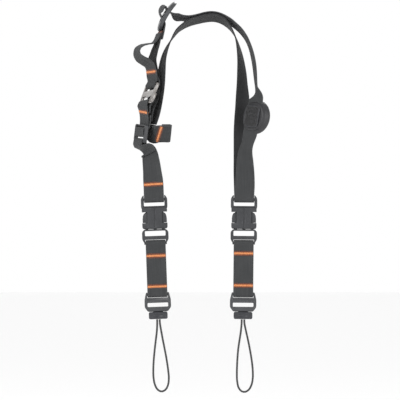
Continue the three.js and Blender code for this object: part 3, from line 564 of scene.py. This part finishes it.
left_upper_webbing, left_upper_samples = tape("left_upper_tape", left_upper)

# x, z, depth, then the direction of the tape's width
TAB_ROWS = [
    (-0.608, -0.5419, 0.272, (-0.475, 0.866, 0.156)),
    (-0.6178, -0.5563, 0.256, (-0.475, 0.866, 0.156)),
    (-0.6145, -0.5765, 0.24, (-0.52, 0.81, -0.2)),
    (-0.6, -0.5905, 0.19, (-0.5, 0.64, -0.57)),
    (-0.58, -0.5925, 0.14, (-0.3, 0.57, -0.77)),
    (-0.555, -0.5905, 0.105, (-0.14, 0.54, -0.83)),
    (-0.51, -0.589, 0.09, (-0.07, 0.54, -0.84)),
    (-0.47, -0.589, 0.085, (-0.08, 0.54, -0.84)),
    (-0.4255, -0.5893, 0.083, (-0.09, 0.54, -0.84)),
    (-0.4145, -0.5868, 0.125, (-0.09, 0.54, -0.84)),
    (-0.4255, -0.5842, 0.167, (-0.09, 0.54, -0.84)),
    (-0.47, -0.5836, 0.169, (-0.08, 0.54, -0.84)),
    (-0.5, -0.5836, 0.173, (-0.07, 0.54, -0.84)),
]
tab = [(spot(x, depth, z), Vector(width)) for x, z, depth, width in TAB_ROWS]
pull_tab, tab_samples = tape("pull_tab_tape", tab, 1 * MM)

# %% [markdown]
# The two lower tabs are single lengths folded round both of their bars and sewn flat together.
# Flat strips with arcs at the ends would show their seams, so each tab is one tape, like the
# strands. Its ends meet at the back, as they would under the stitching.

# %% Sewn tabs
TAB_BAR_TOP = -43.5
TAB_BAR_LOW = -94.8
FLAT = 0.8  # from the tab's middle to the middle of one layer


def folded_tab(side):
    place = ENDS[side]
    rows = [local(place, FLAT, z) for z in (-69, -60, TAB_BAR_TOP - 7)]
    rows += [local(place, WRAP - 0.35, TAB_BAR_TOP - 2.2)]
    rows += wrap(place, TAB_BAR_TOP, 0, 180)
    rows += [local(place, 0.35 - WRAP, TAB_BAR_TOP - 2.2)]
    rows += [local(place, -FLAT, z) for z in (TAB_BAR_TOP - 7, -60, -80, TAB_BAR_LOW + 7)]
    rows += [local(place, 0.35 - WRAP, TAB_BAR_LOW + 2.2)]
    rows += wrap(place, TAB_BAR_LOW, 180, 360)
    rows += [local(place, WRAP - 0.35, TAB_BAR_LOW + 2.2)]
    rows += [local(place, FLAT, z) for z in (TAB_BAR_LOW + 7, -78, -69.4)]
    return tape(f"{side}_folded_tab", rows)


folded = {side: folded_tab(side) for side in ENDS}
print("folded tabs", round(folded["left"][1][-1][4] / MM), "mm of tape each")

# %% [markdown]
# The finishes are shader graphs. Dozens of Math nodes linked one by one would hide the idea, so a
# small class wraps a socket and a pattern is written as arithmetic. One function adds any other node.

# %% Shader arithmetic
class Wire:
    """An output socket that can be used in sums like a number."""

    def __init__(self, tree, socket):
        self.tree, self.socket = tree, socket

    def maths(self, operation, *terms):
        return add_node(self.tree, "ShaderNodeMath", {"operation": operation}, dict(enumerate(terms)))

    def __add__(self, other):
        return self.maths("ADD", self, other)

    def __sub__(self, other):
        return self.maths("SUBTRACT", self, other)

    def __mul__(self, other):
        return self.maths("MULTIPLY", self, other)

    def __rsub__(self, other):
        return self.maths("SUBTRACT", other, self)

    __radd__, __rmul__ = __add__, __mul__

    def sine(self):
        return self.maths("SINE", self)

    def size(self):
        return self.maths("ABSOLUTE", self)

    def eased(self, low, high):
        """0 below low, 1 above high, and smooth between."""
        settings = {"interpolation_type": "SMOOTHSTEP"}
        return add_node(self.tree, "ShaderNodeMapRange", settings, {0: self, 1: low, 2: high})


def add_node(tree, kind, settings, sockets, out=0):
    """A node of any kind: its settings, then the values or links of its sockets, then one output."""
    node = tree.nodes.new(kind)
    for name, value in settings.items():
        setattr(node, name, value)
    for name, value in sockets.items():
        if isinstance(value, Wire):
            tree.links.new(value.socket, node.inputs[name])
        else:
            node.inputs[name].default_value = value
    return Wire(tree, node.outputs[out])


def tone(hex_color):
    """A screen colour as the linear colour that a shader takes."""
    parts = [int(hex_color[i:i + 2], 16) / 255 for i in (1, 3, 5)]
    linear = [p / 12.92 if p <= 0.04045 else ((p + 0.055) / 1.055) ** 2.4 for p in parts]
    return (*linear, 1.0)


def blend_tones(tree, share, first, second):
    settings = {"data_type": "RGBA"}
    return add_node(tree, "ShaderNodeMix", settings, {0: share, 6: first, 7: second}, out=2)


def noise(tree, place, scale, detail=3.0):
    return add_node(tree, "ShaderNodeTexNoise", {}, {"Vector": place, "Scale": scale, "Detail": detail})


def finish(name):
    """A new material with its principled shader and its own coordinates."""
    material = bpy.data.materials.new(name)
    material.use_nodes = True
    tree = material.node_tree
    shader = tree.nodes["Principled BSDF"]
    place = add_node(tree, "ShaderNodeTexCoord", {}, {}, out=3)
    return material, tree, shader, place


def feed(tree, shader, **wires):
    """Links wires to the shader's sockets, with spaces for underscores."""
    for name, wire in wires.items():
        tree.links.new(wire.socket, shader.inputs[name.replace("_", " ")])


def stretched(tree, place, by):
    return add_node(tree, "ShaderNodeVectorMath", {"operation": "MULTIPLY"}, {0: place, 1: by})


def bumped(tree, height, strength, distance):
    values = {"Height": height, "Strength": strength, "Distance": distance}
    return add_node(tree, "ShaderNodeBump", {}, values)


# %% [markdown]
# The tape is woven: fine warp threads run along it, weft threads cross under and over them, and
# each edge has a tight rounded selvedge. Real threads would take millions of faces, so sine waves
# draw the weave in the tape's own millimetres, as colour and as bump. In the colour, the hollows
# of the weave are painted darker: painted shade.

# %% Webbing finish
WARP_PITCH = 1.25  # across the tape, in millimetres
WEFT_PITCH = 1.6  # along the tape
SELVEDGE = (9.1, 9.7)  # from the middle of the tape to where the edge weave starts and is full
SELVEDGE_PITCH = 0.8
STREAKS = (1.6, 0.03, 1)  # fine across the tape, long along it


def webbing_finish(name, dark, light):
    material, tree, shader, place = finish(name)
    lay = add_node(tree, "ShaderNodeUVMap", {"uv_map": "lay"}, {})
    across = add_node(tree, "ShaderNodeSeparateXYZ", {}, {0: lay})
    along = add_node(tree, "ShaderNodeSeparateXYZ", {}, {0: lay}, out=1)
    warp = (across * (2 * math.pi / WARP_PITCH)).sine()
    weft = (along * (2 * math.pi / WEFT_PITCH)).sine()
    weave = warp * weft * 0.35 + warp.size() * 0.45 + 0.2
    edge = across.size().eased(*SELVEDGE)
    cord_lines = (along * (2 * math.pi / SELVEDGE_PITCH) + across.size() * 2.0).sine() * 0.3 + 0.6
    height = weave * (1 - edge) + cord_lines * edge
    cloud = noise(tree, place, 60.0)
    streak = noise(tree, stretched(tree, lay, STREAKS), 1.0, 2.0)
    fuzz = noise(tree, place, 2600.0, 2.0)
    # The weave's height also sets the colour, so its hollows are darker: painted shade. The noise terms are
    # the yarn's own uneven tone.
    share = height * 0.42 + cloud * 0.22 + streak * 0.42 + fuzz * 0.24 - 0.16
    worn = edge * noise(tree, place, 400.0).eased(0.45, 0.7) * 0.35
    colour = blend_tones(tree, (share + worn).eased(0.05, 1.0), tone(dark), tone(light))
    rough = height * -0.12 + cloud * 0.1 + 0.82
    relief = height + fuzz * 0.4
    feed(tree, shader, Base_Color=colour, Roughness=rough, Normal=bumped(tree, relief, 0.55, 0.00022))
    shader.inputs["Sheen Weight"].default_value = 0.05
    shader.inputs["Sheen Roughness"].default_value = 0.45
    shader.inputs["Specular IOR Level"].default_value = 0.16
    return material


webbing = webbing_finish("woven_nylon", "#1c1d1e", "#414243")
# A darker copy of the same webbing for the inner strand and the left outer webbing: painted shade, as these
# strands hang behind and turn away from the light.
webbing_in_painted_shade = webbing_finish("woven_nylon_painted_shade", "#111112", "#303132")
print("weave", WARP_PITCH, "by", WEFT_PITCH, "mm")

# %% [markdown]
# The hardware is moulded plastic: a satin skin with a very fine spark texture, a little paler and
# duller where it has been handled. A moulding has no grain that follows its surface, so noise on
# Object coordinates is enough, and no UV map is needed.

# %% Moulded plastic finish
def plastic_finish(name, dark, light, roughness, grain, coat=0.0):
    material, tree, shader, place = finish(name)
    cloud = noise(tree, place, 90.0)
    spark = noise(tree, place, 2200.0, 2.0)
    scuff = noise(tree, stretched(tree, place, (1, 1, 0.25)), 700.0, 4.0).eased(0.56, 0.72)
    share = cloud * 0.5 + spark * 0.3 + scuff * 0.25
    colour = blend_tones(tree, share.eased(0.1, 0.95), tone(dark), tone(light))
    rough = cloud * 0.14 + scuff * 0.12 + (roughness - 0.08)
    feed(tree, shader, Base_Color=colour, Roughness=rough, Normal=bumped(tree, spark, grain, 0.00008))
    shader.inputs["Specular IOR Level"].default_value = 0.32
    shader.inputs["Coat Weight"].default_value = coat
    shader.inputs["Coat Roughness"].default_value = 0.18
    return material


plastic = plastic_finish("moulded_satin", "#222325", "#36373a", 0.42, 0.3)
clamp_plastic = plastic_finish("moulded_clamp", "#222326", "#35363a", 0.34, 0.22)
# The hook is dark plastic with a high gloss. Its pale tones paint the glare on it, a painted highlight, on
# top of the real gloss of its coat.
glossy_painted_glare = plastic_finish("moulded_glossy", "#4a4644", "#94908c", 0.2, 0.12, coat=0.8)
rim_plastic = plastic_finish("moulded_grey", "#2c2d2f", "#454648", 0.36, 0.22)
rubber = plastic_finish("soft_rubber", "#1b1b1d", "#303032", 0.46, 0.25)

# %% [markdown]
# The pile of the patch is black nylon, the cords are braided, and the bar tacks are sewn with a
# smooth orange thread that catches the light. Two sine waves that cross make the braid. The pile
# and the threads are geometry, so a little noise does for their colour.

# %% Pile, braid and thread finishes
pile, tree, shader, place = finish("hook_pile")
patchy = noise(tree, place, 500.0)
feed(tree, shader, Base_Color=blend_tones(tree, patchy.eased(0.3, 0.7), tone("#0d0d0e"), tone("#2b2b2d")))
shader.inputs["Roughness"].default_value = 0.72
shader.inputs["Sheen Weight"].default_value = 0.15

BRAID_STRANDS = 4
BRAID_PITCH = 2.2  # along the cord, in millimetres
braid, tree, shader, place = finish("braided_cord")
lay = add_node(tree, "ShaderNodeUVMap", {"uv_map": "lay"}, {})
turn = add_node(tree, "ShaderNodeSeparateXYZ", {}, {0: lay}) * (2 * math.pi * BRAID_STRANDS)
run = add_node(tree, "ShaderNodeSeparateXYZ", {}, {0: lay}, out=1) * (2 * math.pi / BRAID_PITCH)
strands = (turn + run).sine() * (turn - run).sine()
height = strands * 0.5 + 0.5
# The colour follows the braid's height, so the hollows between its strands are darker: painted shade.
colour = blend_tones(tree, height.eased(0.0, 1.0), tone("#0e0e0f"), tone("#303133"))
feed(tree, shader, Base_Color=colour, Normal=bumped(tree, height, 0.6, 0.00018))
shader.inputs["Roughness"].default_value = 0.68


def thread_finish(name, dark, light):
    material, tree, shader, place = finish(name)
    twist = noise(tree, place, 1800.0, 2.0)
    colour = blend_tones(tree, twist.eased(0.32, 0.68), tone(dark), tone(light))
    feed(tree, shader, Base_Color=colour, Normal=bumped(tree, twist, 0.4, 0.0001))
    shader.inputs["Roughness"].default_value = 0.48
    shader.inputs["Sheen Weight"].default_value = 0.1
    return material


orange_thread = thread_finish("orange_thread", "#9a4c1c", "#d08c56")
brown_thread = thread_finish("brown_thread", "#34170c", "#6b3218")

# %% [markdown]
# Each finished webbing and cord now stands for its CAD solid and takes its finish. The solids could
# be dressed as they are, but they have few faces and would show corners at every bend.

# %% Dress the webbing and the cords
def dress(piece, material, slot, *nodes):
    """Gives a piece its finish and hides the CAD nodes that it stands for. The slot is not used."""
    piece.data.materials.clear()
    piece.data.materials.append(material)
    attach(piece, "root")
    if nodes:
        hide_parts(*nodes)


for piece, material, node in [
    (outer_strand, webbing, "outer_strand"),
    # The inner strand and the left outer webbing take the darker copy of the webbing: painted shade.
    (inner_strand, webbing_in_painted_shade, "inner_strand"),
    (left_outer_webbing, webbing_in_painted_shade, "left_outer_webbing"),
    (bypass_upper, webbing, "bypass_upper_webbing"),
    (bypass_lower, webbing, "bypass_lower_webbing"),
    (left_upper_webbing, webbing, "left_upper_webbing"),
    (pull_tab, webbing, "pull_tab"),
]:
    dress(piece, material, "webbing", node)
for side, (piece, samples) in folded.items():
    dress(piece, webbing, "webbing", f"{side}_sewn_tab")
for side, (piece, points, length) in cords.items():
    dress(piece, braid, "cord", f"{side}_cord_loop")
print("dressed 9 tapes and 2 cords")

# %% [markdown]
# The hardware keeps the CAD shapes. Modelled again it would only drift from the solids, so a copy
# of each has its doubles merged and its flat faces joined, and a small bevel rounds the edges that
# a mould leaves round.

# %% Moulded hardware
def moulded(name, node, material, slot, width=0.32 * MM):
    """A rounded copy of a CAD node, as a plain mesh at the origin."""
    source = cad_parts[node]
    mesh = source.data.copy()
    mesh.transform(source.matrix_world)
    piece = placed(name, mesh)
    weld = piece.modifiers.new("weld", "WELD")
    weld.merge_threshold = 0.004 * MM
    join = piece.modifiers.new("join_flats", "DECIMATE")
    join.decimate_type = "DISSOLVE"
    join.angle_limit = math.radians(1.5)
    round_over = piece.modifiers.new("round_over", "BEVEL")
    round_over.width = width
    round_over.segments = 2
    round_over.limit_method = "ANGLE"
    round_over.angle_limit = math.radians(32)
    return settle(piece, material, slot, [node])


def settle(piece, material, slot, nodes=(), smooth_angle=38):
    """Applies a piece's modifiers, sets its finish and puts it in the part."""
    graph = bpy.context.evaluated_depsgraph_get()
    mesh = bpy.data.meshes.new_from_object(piece.evaluated_get(graph))
    piece.modifiers.clear()
    piece.data = mesh
    mesh.shade_smooth()
    mesh.set_sharp_from_angle(angle=math.radians(smooth_angle))
    dress(piece, material, slot, *nodes)
    return piece


hardware = [
    ("socket", "buckle_socket", plastic, "buckle_plastic"),
    ("prongs", "buckle_prongs", plastic, "buckle_plastic"),
    ("lower_rings", "lower_frame", rim_plastic, "buckle_plastic"),
    ("clamp", "cord_clamp", clamp_plastic, "clamp_plastic"),
]
moulded_faces = 0
pieces = [(f"{side}_{name}", f"{side}_{node}", *look) for side in ENDS for name, node, *look in hardware]
pieces += [
    ("slider", "slide_adjuster", rim_plastic, "buckle_plastic"),
    ("lock", "ladder_lock", plastic, "buckle_plastic"),
    # The hook's pale finish is painted glare, a painted highlight.
    ("hook", "bypass_hook_buckle", glossy_painted_glare, "glossy_plastic"),
]
for name, node, material, slot in pieces:
    moulded_faces += len(moulded(f"{name}_moulded", node, material, slot).data.polygons)
print("moulded hardware", moulded_faces, "faces")

# %% [markdown]
# The pad is a soft moulded puck: a crowned back, a raised ring round its side and a flat front.
# A cylinder could be sculpted to it, but one profile turned round an axis is exact and short. The
# tape's channel is then cut through it, just behind the front.

# %% Pad body
PAD_PROFILE = [  # radius and depth behind the front face, in millimetres
    (0, 0), (11.8, 0), (13, 0.12), (13.9, 0.55), (14.5, 1.3), (14.75, 1.75), (15.05, 1.75), (15.4, 2.1),
    (15.9, 3.4), (16.5, 5.0), (16.85, 6.3), (16.95, 6.9), (16.85, 7.6), (16.4, 8.5), (15.7, 9.3),
    (14.7, 9.95), (13.2, 10.5), (11, 10.85), (6, 11), (0, 11),
]
CHANNEL_DEPTH = 2.4  # from the front face to the webbing's middle
CHANNEL_SIDE = -1.5  # the webbing lies a little to one side of the pad's middle
CHANNEL_HALF = (10.3, 0.95, 20)


def pad_puck(turns=96):
    """The profile turned round the pad's axis, closed at both poles."""
    rows = []
    for radius, depth in PAD_PROFILE:
        ring = []
        for k in range(turns if radius else 1):
            angle = 2 * math.pi * k / turns
            x, z = radius * math.cos(angle), radius * math.sin(angle)
            ring.append(Vector((x, depth - CHANNEL_DEPTH, z)) * MM)
        rows.append(ring)
    vertices = [PAD @ v for ring in rows for v in ring]
    starts = np.cumsum([0] + [len(r) for r in rows])
    faces = []
    for i in range(len(rows) - 1):
        for k in range(turns):
            m = (k + 1) % turns
            a, b = starts[i], starts[i + 1]
            if len(rows[i]) == 1:
                faces.append((a, b + k, b + m))
            elif len(rows[i + 1]) == 1:
                faces.append((a + k, b, a + m))
            else:
                faces.append((a + k, b + k, b + m, a + m))
    mesh = bpy.data.meshes.new("pad_puck")
    mesh.from_pydata(vertices, [], [tuple(int(v) for v in f) for f in faces])
    facing_out(mesh)
    return placed("pad_puck", mesh)


def block(name, place, middle, half):
    """A box in a piece's frame, in millimetres."""
    spans = [(m - h, m + h) for m, h in zip(middle, half)]
    vertices = [place @ (Vector((x, y, z)) * MM) for x in spans[0] for y in spans[1] for z in spans[2]]
    sides = [(0, 1, 3, 2), (4, 6, 7, 5), (0, 4, 5, 1), (2, 3, 7, 6), (0, 2, 6, 4), (1, 5, 7, 3)]
    mesh = bpy.data.meshes.new(name)
    mesh.from_pydata(vertices, [], sides)
    facing_out(mesh)
    return placed(name, mesh)


puck = pad_puck()
channel = block("channel", PAD, (CHANNEL_SIDE, 0, 0), CHANNEL_HALF)
cut = puck.modifiers.new("channel", "BOOLEAN")
cut.object = channel
cut.solver = "EXACT"
settle(puck, rubber, "pad_rubber", ["pad_body"], 30)
bpy.data.objects.remove(channel)
print("pad", len(puck.data.polygons), "faces")

# %% [markdown]
# The patch on the pad is hook-and-loop tape: a stiff backing inside a raised sewn border. A ring
# of extruded faces could make the border, but a bevelled curve gives it its round section at once.

# %% Patch backing and border
PATCH_HALF = (10, 11)
PATCH_FRONT = -3.9  # front face of the patch in the pad's frame, in millimetres
BORDER_INSET = 0.5
BORDER_SINK = 0.35
BORDER_CORNER = 4.2
BORDER_RADIUS = 0.55


def rounded_corner_path(half, radius, y, steps=8):
    """Places round a rectangle with round corners, in the pad's frame."""
    found = []
    centres = [(1, 1, 0), (-1, 1, 90), (-1, -1, 180), (1, -1, 270)]
    for sx, sz, start in centres:
        for k in range(steps + 1):
            angle = math.radians(start + 90 * k / steps)
            x = sx * (half[0] - radius) + radius * math.cos(angle)
            z = sz * (half[1] - radius) + radius * math.sin(angle)
            found.append(PAD @ (Vector((x, y, z)) * MM))
    return found


border_half = [half - BORDER_INSET for half in PATCH_HALF]
border_path = rounded_corner_path(border_half, BORDER_CORNER, PATCH_FRONT + BORDER_SINK)
border_curve = bpy.data.curves.new("border", "CURVE")
border_curve.dimensions = "3D"
border_curve.bevel_depth = BORDER_RADIUS * MM
border_curve.bevel_resolution = 3
line = border_curve.splines.new("POLY")
line.points.add(len(border_path) - 1)
for point, place in zip(line.points, border_path):
    point.co = (*place, 1)
line.use_cyclic_u = True
border = placed("patch_border", border_curve)
graph = bpy.context.evaluated_depsgraph_get()
border_mesh = bpy.data.meshes.new_from_object(border.evaluated_get(graph))
bpy.data.objects.remove(border)
border = placed("patch_border", border_mesh)
facing_out(border_mesh)
border_mesh.shade_smooth()
dress(border, clamp_plastic, "hook_and_loop")
moulded("patch_backing", "pad_patch", pile, "hook_and_loop", 0.2 * MM)
print("patch border", len(border_mesh.polygons), "faces")

# %% [markdown]
# Threads and hooks repeat hundreds of times, each a little out of line. Copies made in a loop would
# be slow, so Geometry Nodes lay one thread at every point of a grid. One tree serves the bar tacks
# and the pile: its inputs are the grid's size and counts, the scatter, the lean and the seed.

# %% Node tree that lays threads on a grid
def thread_tree(name):
    """The tree: a grid of points, moved and leant at random, with a thread on each."""
    tree = bpy.data.node_groups.new(name, "GeometryNodeTree")
    wanted = [("Across", "NodeSocketFloat"), ("Up", "NodeSocketFloat"), ("Columns", "NodeSocketInt"),
              ("Rows", "NodeSocketInt"), ("Scatter", "NodeSocketFloat"), ("Lean", "NodeSocketFloat"),
              ("Seed", "NodeSocketInt"), ("Thread", "NodeSocketObject"), ("Material", "NodeSocketMaterial")]
    tree.interface.new_socket("Geometry", in_out="OUTPUT", socket_type="NodeSocketGeometry")
    for label, kind in wanted:
        tree.interface.new_socket(label, in_out="INPUT", socket_type=kind)

    def node(kind, sockets, **settings):
        made = tree.nodes.new(kind)
        for key, value in settings.items():
            setattr(made, key, value)
        for key, value in sockets.items():
            if isinstance(value, bpy.types.NodeSocket):
                tree.links.new(value, made.inputs[key])
            else:
                made.inputs[key].default_value = value
        return made

    def random_within(reach, scale):
        """A random vector for each point, up to scale times reach either way."""
        sockets = {"Seed": given["Seed"]}
        for end, sign in (("Min", -1), ("Max", 1)):
            values = {0: [sign * r for r in reach], "Scale": scale}
            sockets[end] = node("ShaderNodeVectorMath", values, operation="SCALE").outputs["Vector"]
        return node("FunctionNodeRandomValue", sockets, data_type="FLOAT_VECTOR").outputs["Value"]

    given = tree.nodes.new("NodeGroupInput").outputs
    grid = node("GeometryNodeMeshGrid", {"Size X": given["Across"], "Size Y": given["Up"],
                                         "Vertices X": given["Columns"], "Vertices Y": given["Rows"]})
    points = node("GeometryNodeMeshToPoints", {"Mesh": grid.outputs["Mesh"]})
    moved = node("GeometryNodeSetPosition", {"Geometry": points.outputs["Points"],
                                             "Offset": random_within((1, 1, 0), given["Scatter"])})
    thread = node("GeometryNodeObjectInfo", {"Object": given["Thread"]}, transform_space="ORIGINAL")
    laid = node("GeometryNodeInstanceOnPoints", {"Points": moved.outputs["Geometry"],
                                                 "Instance": thread.outputs["Geometry"],
                                                 "Rotation": random_within((0.4, 0.4, 1), given["Lean"])})
    real = node("GeometryNodeRealizeInstances", {"Geometry": laid.outputs["Instances"]})
    coloured = node("GeometryNodeSetMaterial", {"Geometry": real.outputs["Geometry"],
                                                "Material": given["Material"]})
    out = node("NodeGroupOutput", {})
    tree.links.new(coloured.outputs["Geometry"], out.inputs["Geometry"])
    return tree


laying = thread_tree("threads_on_a_grid")


def lay_threads(name, place, thread, material, slot, inputs):
    """Runs the tree, makes its result a plain mesh, and puts it at place."""
    holder = placed(name, bpy.data.meshes.new(name))
    grow = holder.modifiers.new("grow", "NODES")
    grow.node_group = laying
    inputs = {**inputs, "Thread": thread, "Material": material}
    for item in laying.interface.items_tree:
        if item.in_out == "INPUT":
            grow[item.identifier] = inputs[item.name]
    graph = bpy.context.evaluated_depsgraph_get()
    mesh = bpy.data.meshes.new_from_object(holder.evaluated_get(graph))
    holder.modifiers.clear()
    holder.data = mesh
    mesh.transform(place)
    mesh.shade_smooth()
    dress(holder, material, slot)
    return holder


def short_tube(name, places, radius, sides=6):
    """A thread or hook to be laid many times: few faces, closed at both ends."""
    piece = tube(name, [Vector(p) * MM for p in places], radius * MM, sides)[0]
    scene.collection.objects.unlink(piece)
    return piece


# %% [markdown]
# A bar tack is a dense zigzag sewn across the tape where its layers join. Its threads lie side
# by side, run along the tape and dip at both ends. A painted stripe would look flat where the tape
# turns, so each thread is a short tube. Shorter brown threads lie beyond both ends of the orange
# ones, and the tack shows on both faces of the joint.

# %% Bar tacks
TACK_REACH = 2.0  # along the tape, in millimetres
TACK_PITCH = 0.5
ONE_ROW = 0.0001 * MM  # depth of a grid that has a single row
EDGE_OFFSET = 0.7  # of the brown rows, beyond the ends of the orange threads
tack_thread = short_tube("tack_thread", [(-0.08, -1, -0.32), (-0.07, -0.85, 0.06), (-0.03, -0.4, 0.17),
                                          (0.03, 0.4, 0.17), (0.07, 0.85, 0.06), (0.08, 1, -0.32)], 0.27)
edge_thread = short_tube("edge_thread", [(-0.22, -0.85, -0.16), (0, 0, 0.06), (0.22, 0.85, -0.16)], 0.26)


def tack(name, sample, width, lift, seed, thread=orange_thread):
    """A bar tack across the tape at a sample, on its faces, lift millimetres from its middle."""
    middle, across, through, ahead, along = sample
    for face in (1, -1):
        out_way = through * face
        turn = Matrix((across, out_way.cross(across), out_way)).transposed().to_4x4()
        place = Matrix.Translation(middle + out_way * lift * MM) @ turn
        count = round(width / TACK_PITCH)
        values = {"Across": width * MM, "Up": ONE_ROW, "Columns": count, "Rows": 1,
                  "Scatter": 0.03 * MM, "Lean": 0.14, "Seed": seed + face}
        side = "front" if face == 1 else "back"
        lay_threads(f"{name}_{side}_tack", place, tack_thread, thread, "webbing", values)
        for end in (-1, 1):
            row = place @ Matrix.Translation((0, end * (TACK_REACH / 2 + EDGE_OFFSET) * MM, 0))
            values = {**values, "Seed": seed + 7 * end + face, "Lean": 0.5}
            lay_threads(f"{name}_{side}_edge_{end + 1}", row, edge_thread, brown_thread, "webbing", values)


def sample_at(samples, height, first=0.0, last=1.0):
    """The sample nearest a height, in millimetres, within a share of the tape's length."""
    part = samples[int(first * (len(samples) - 1)):int(last * (len(samples) - 1)) + 1]
    return min(part, key=lambda s: abs(s[0].z / MM - height))


THREAD_LIFT = 0.62  # from the middle of a layer to its thread
TAB_TACK_ROWS = {"right": (253.4, 285.5), "left": (255.8, 286.6)}  # rows of the photograph
for side, rows in TAB_TACK_ROWS.items():
    place = ENDS[side]
    across, through, ahead = (place.to_3x3().col[i] for i in range(3))
    for i, y in enumerate(rows):
        core = place.translation + ahead * (pixel_row(y) * MM - place.translation.z)
        tack(f"{side}_tab_{i}", (core, across, through, ahead, 0), 18.6, FLAT + THREAD_LIFT, 11 + i)

PULL_TACK_X = -53  # place of the pull tab's tack along X, in millimetres
PULL_TACK_SLANT = 0.36  # its threads step aside, as the tab's free end does
free_end = [s for s in tab_samples if s[4] < 0.55 * tab_samples[-1][4]]
middle, across, through, ahead, along = min(free_end, key=lambda s: abs(s[0].x / MM - PULL_TACK_X))
across = (across - ahead * PULL_TACK_SLANT).normalized()
pull_tack = (middle, across, through, across.cross(through), along)
seams = [
    ("left_upper", sample_at(left_upper_samples, pixel_row(185.7), 0.35, 0.8), 18.4, orange_thread, 21),
    ("bypass_upper", sample_at(bypass_upper_samples, pixel_row(72), 0.4, 0.72), 18, orange_thread, 31),
    ("bypass_lower", sample_at(bypass_lower_samples, pixel_row(112), 0.45, 0.85), 18, orange_thread, 41),
    ("pull_tab", pull_tack, 18, orange_thread, 51),
    ("slider_joint", sample_at(left_outer_samples, pixel_row(34), 0, 0.3), 17.5, brown_thread, 61),
]
for name, sample, width, thread, seed in seams:
    tack(name, sample, width, THREAD_LIFT, seed, thread)

# %% [markdown]
# The patch is covered in short stiff hooks, bent over at their tips. Particle hair has no faces to
# export, so the same tree lays small tubes, turned every way so that no two agree.

# %% Hooks of the patch
hook_thread = short_tube("hook_thread", [(0, 0, -0.15), (0.02, 0, 0.35), (0.12, 0, 0.62), (0.3, 0, 0.66),
                                         (0.4, 0, 0.48)], 0.11, 5)
front_face = PAD @ Matrix.Translation((0, PATCH_FRONT * MM, 0)) @ Matrix.Rotation(math.pi / 2, 4, "X")
pile_inputs = {"Across": 16.6 * MM, "Up": 18.6 * MM, "Columns": 28, "Rows": 31, "Scatter": 0.22 * MM,
               "Lean": 3.1, "Seed": 5}
hooks = lay_threads("patch_hooks", front_face, hook_thread, pile, "hook_and_loop", pile_inputs)
print("patch hooks", len(hooks.data.polygons), "faces")

# %% [markdown]
# The studio is white: a pale floor well below the hanging strap, a bright even surround, and a few
# large soft lights so that the black webbing keeps its form. Small lights would leave hard shadows
# in its folds, which the photograph doesn't show.

# %% Floor, surround and lights
FLOOR_HEIGHT = -0.46
FLOOR_REACH = 12
signs = [(-1, -1), (1, -1), (1, 1), (-1, 1)]
corners = [(x * FLOOR_REACH, y * FLOOR_REACH, FLOOR_HEIGHT) for x, y in signs]
floor_mesh = bpy.data.meshes.new("floor")
floor_mesh.from_pydata(corners, [], [(0, 1, 2, 3)])
floor = placed("floor", floor_mesh)
pale, tree, shader, place = finish("pale_floor")
shader.inputs["Base Color"].default_value = (0.95, 0.95, 0.95, 1)
shader.inputs["Roughness"].default_value = 0.9
floor_mesh.materials.append(pale)

world = bpy.data.worlds.new("surround")
world.use_nodes = True
surround = world.node_tree.nodes["Background"]
surround.inputs["Color"].default_value = (1, 1, 1, 1)
surround.inputs["Strength"].default_value = 1.0
scene.world = world
scene.view_settings.view_transform = "Standard"


AIM = Vector((0, -0.02, -0.19))  # the middle of the strap


def soft_light(name, place, size, power):
    """A round area light that faces the strap."""
    lamp = bpy.data.lights.new(name, "AREA")
    lamp.shape = "DISK"
    lamp.size = size
    lamp.energy = power
    light = placed(name, lamp)
    light.location = place
    light.rotation_euler = (AIM - Vector(place)).to_track_quat("-Z", "Y").to_euler()


soft_light("key", (-0.9, -1.5, 0.7), 0.9, 26)
soft_light("fill", (1.2, -1.2, 0.1), 1.0, 12)
soft_light("back", (0.4, 1.4, 0.8), 0.9, 14)
print("floor at", FLOOR_HEIGHT, "m")
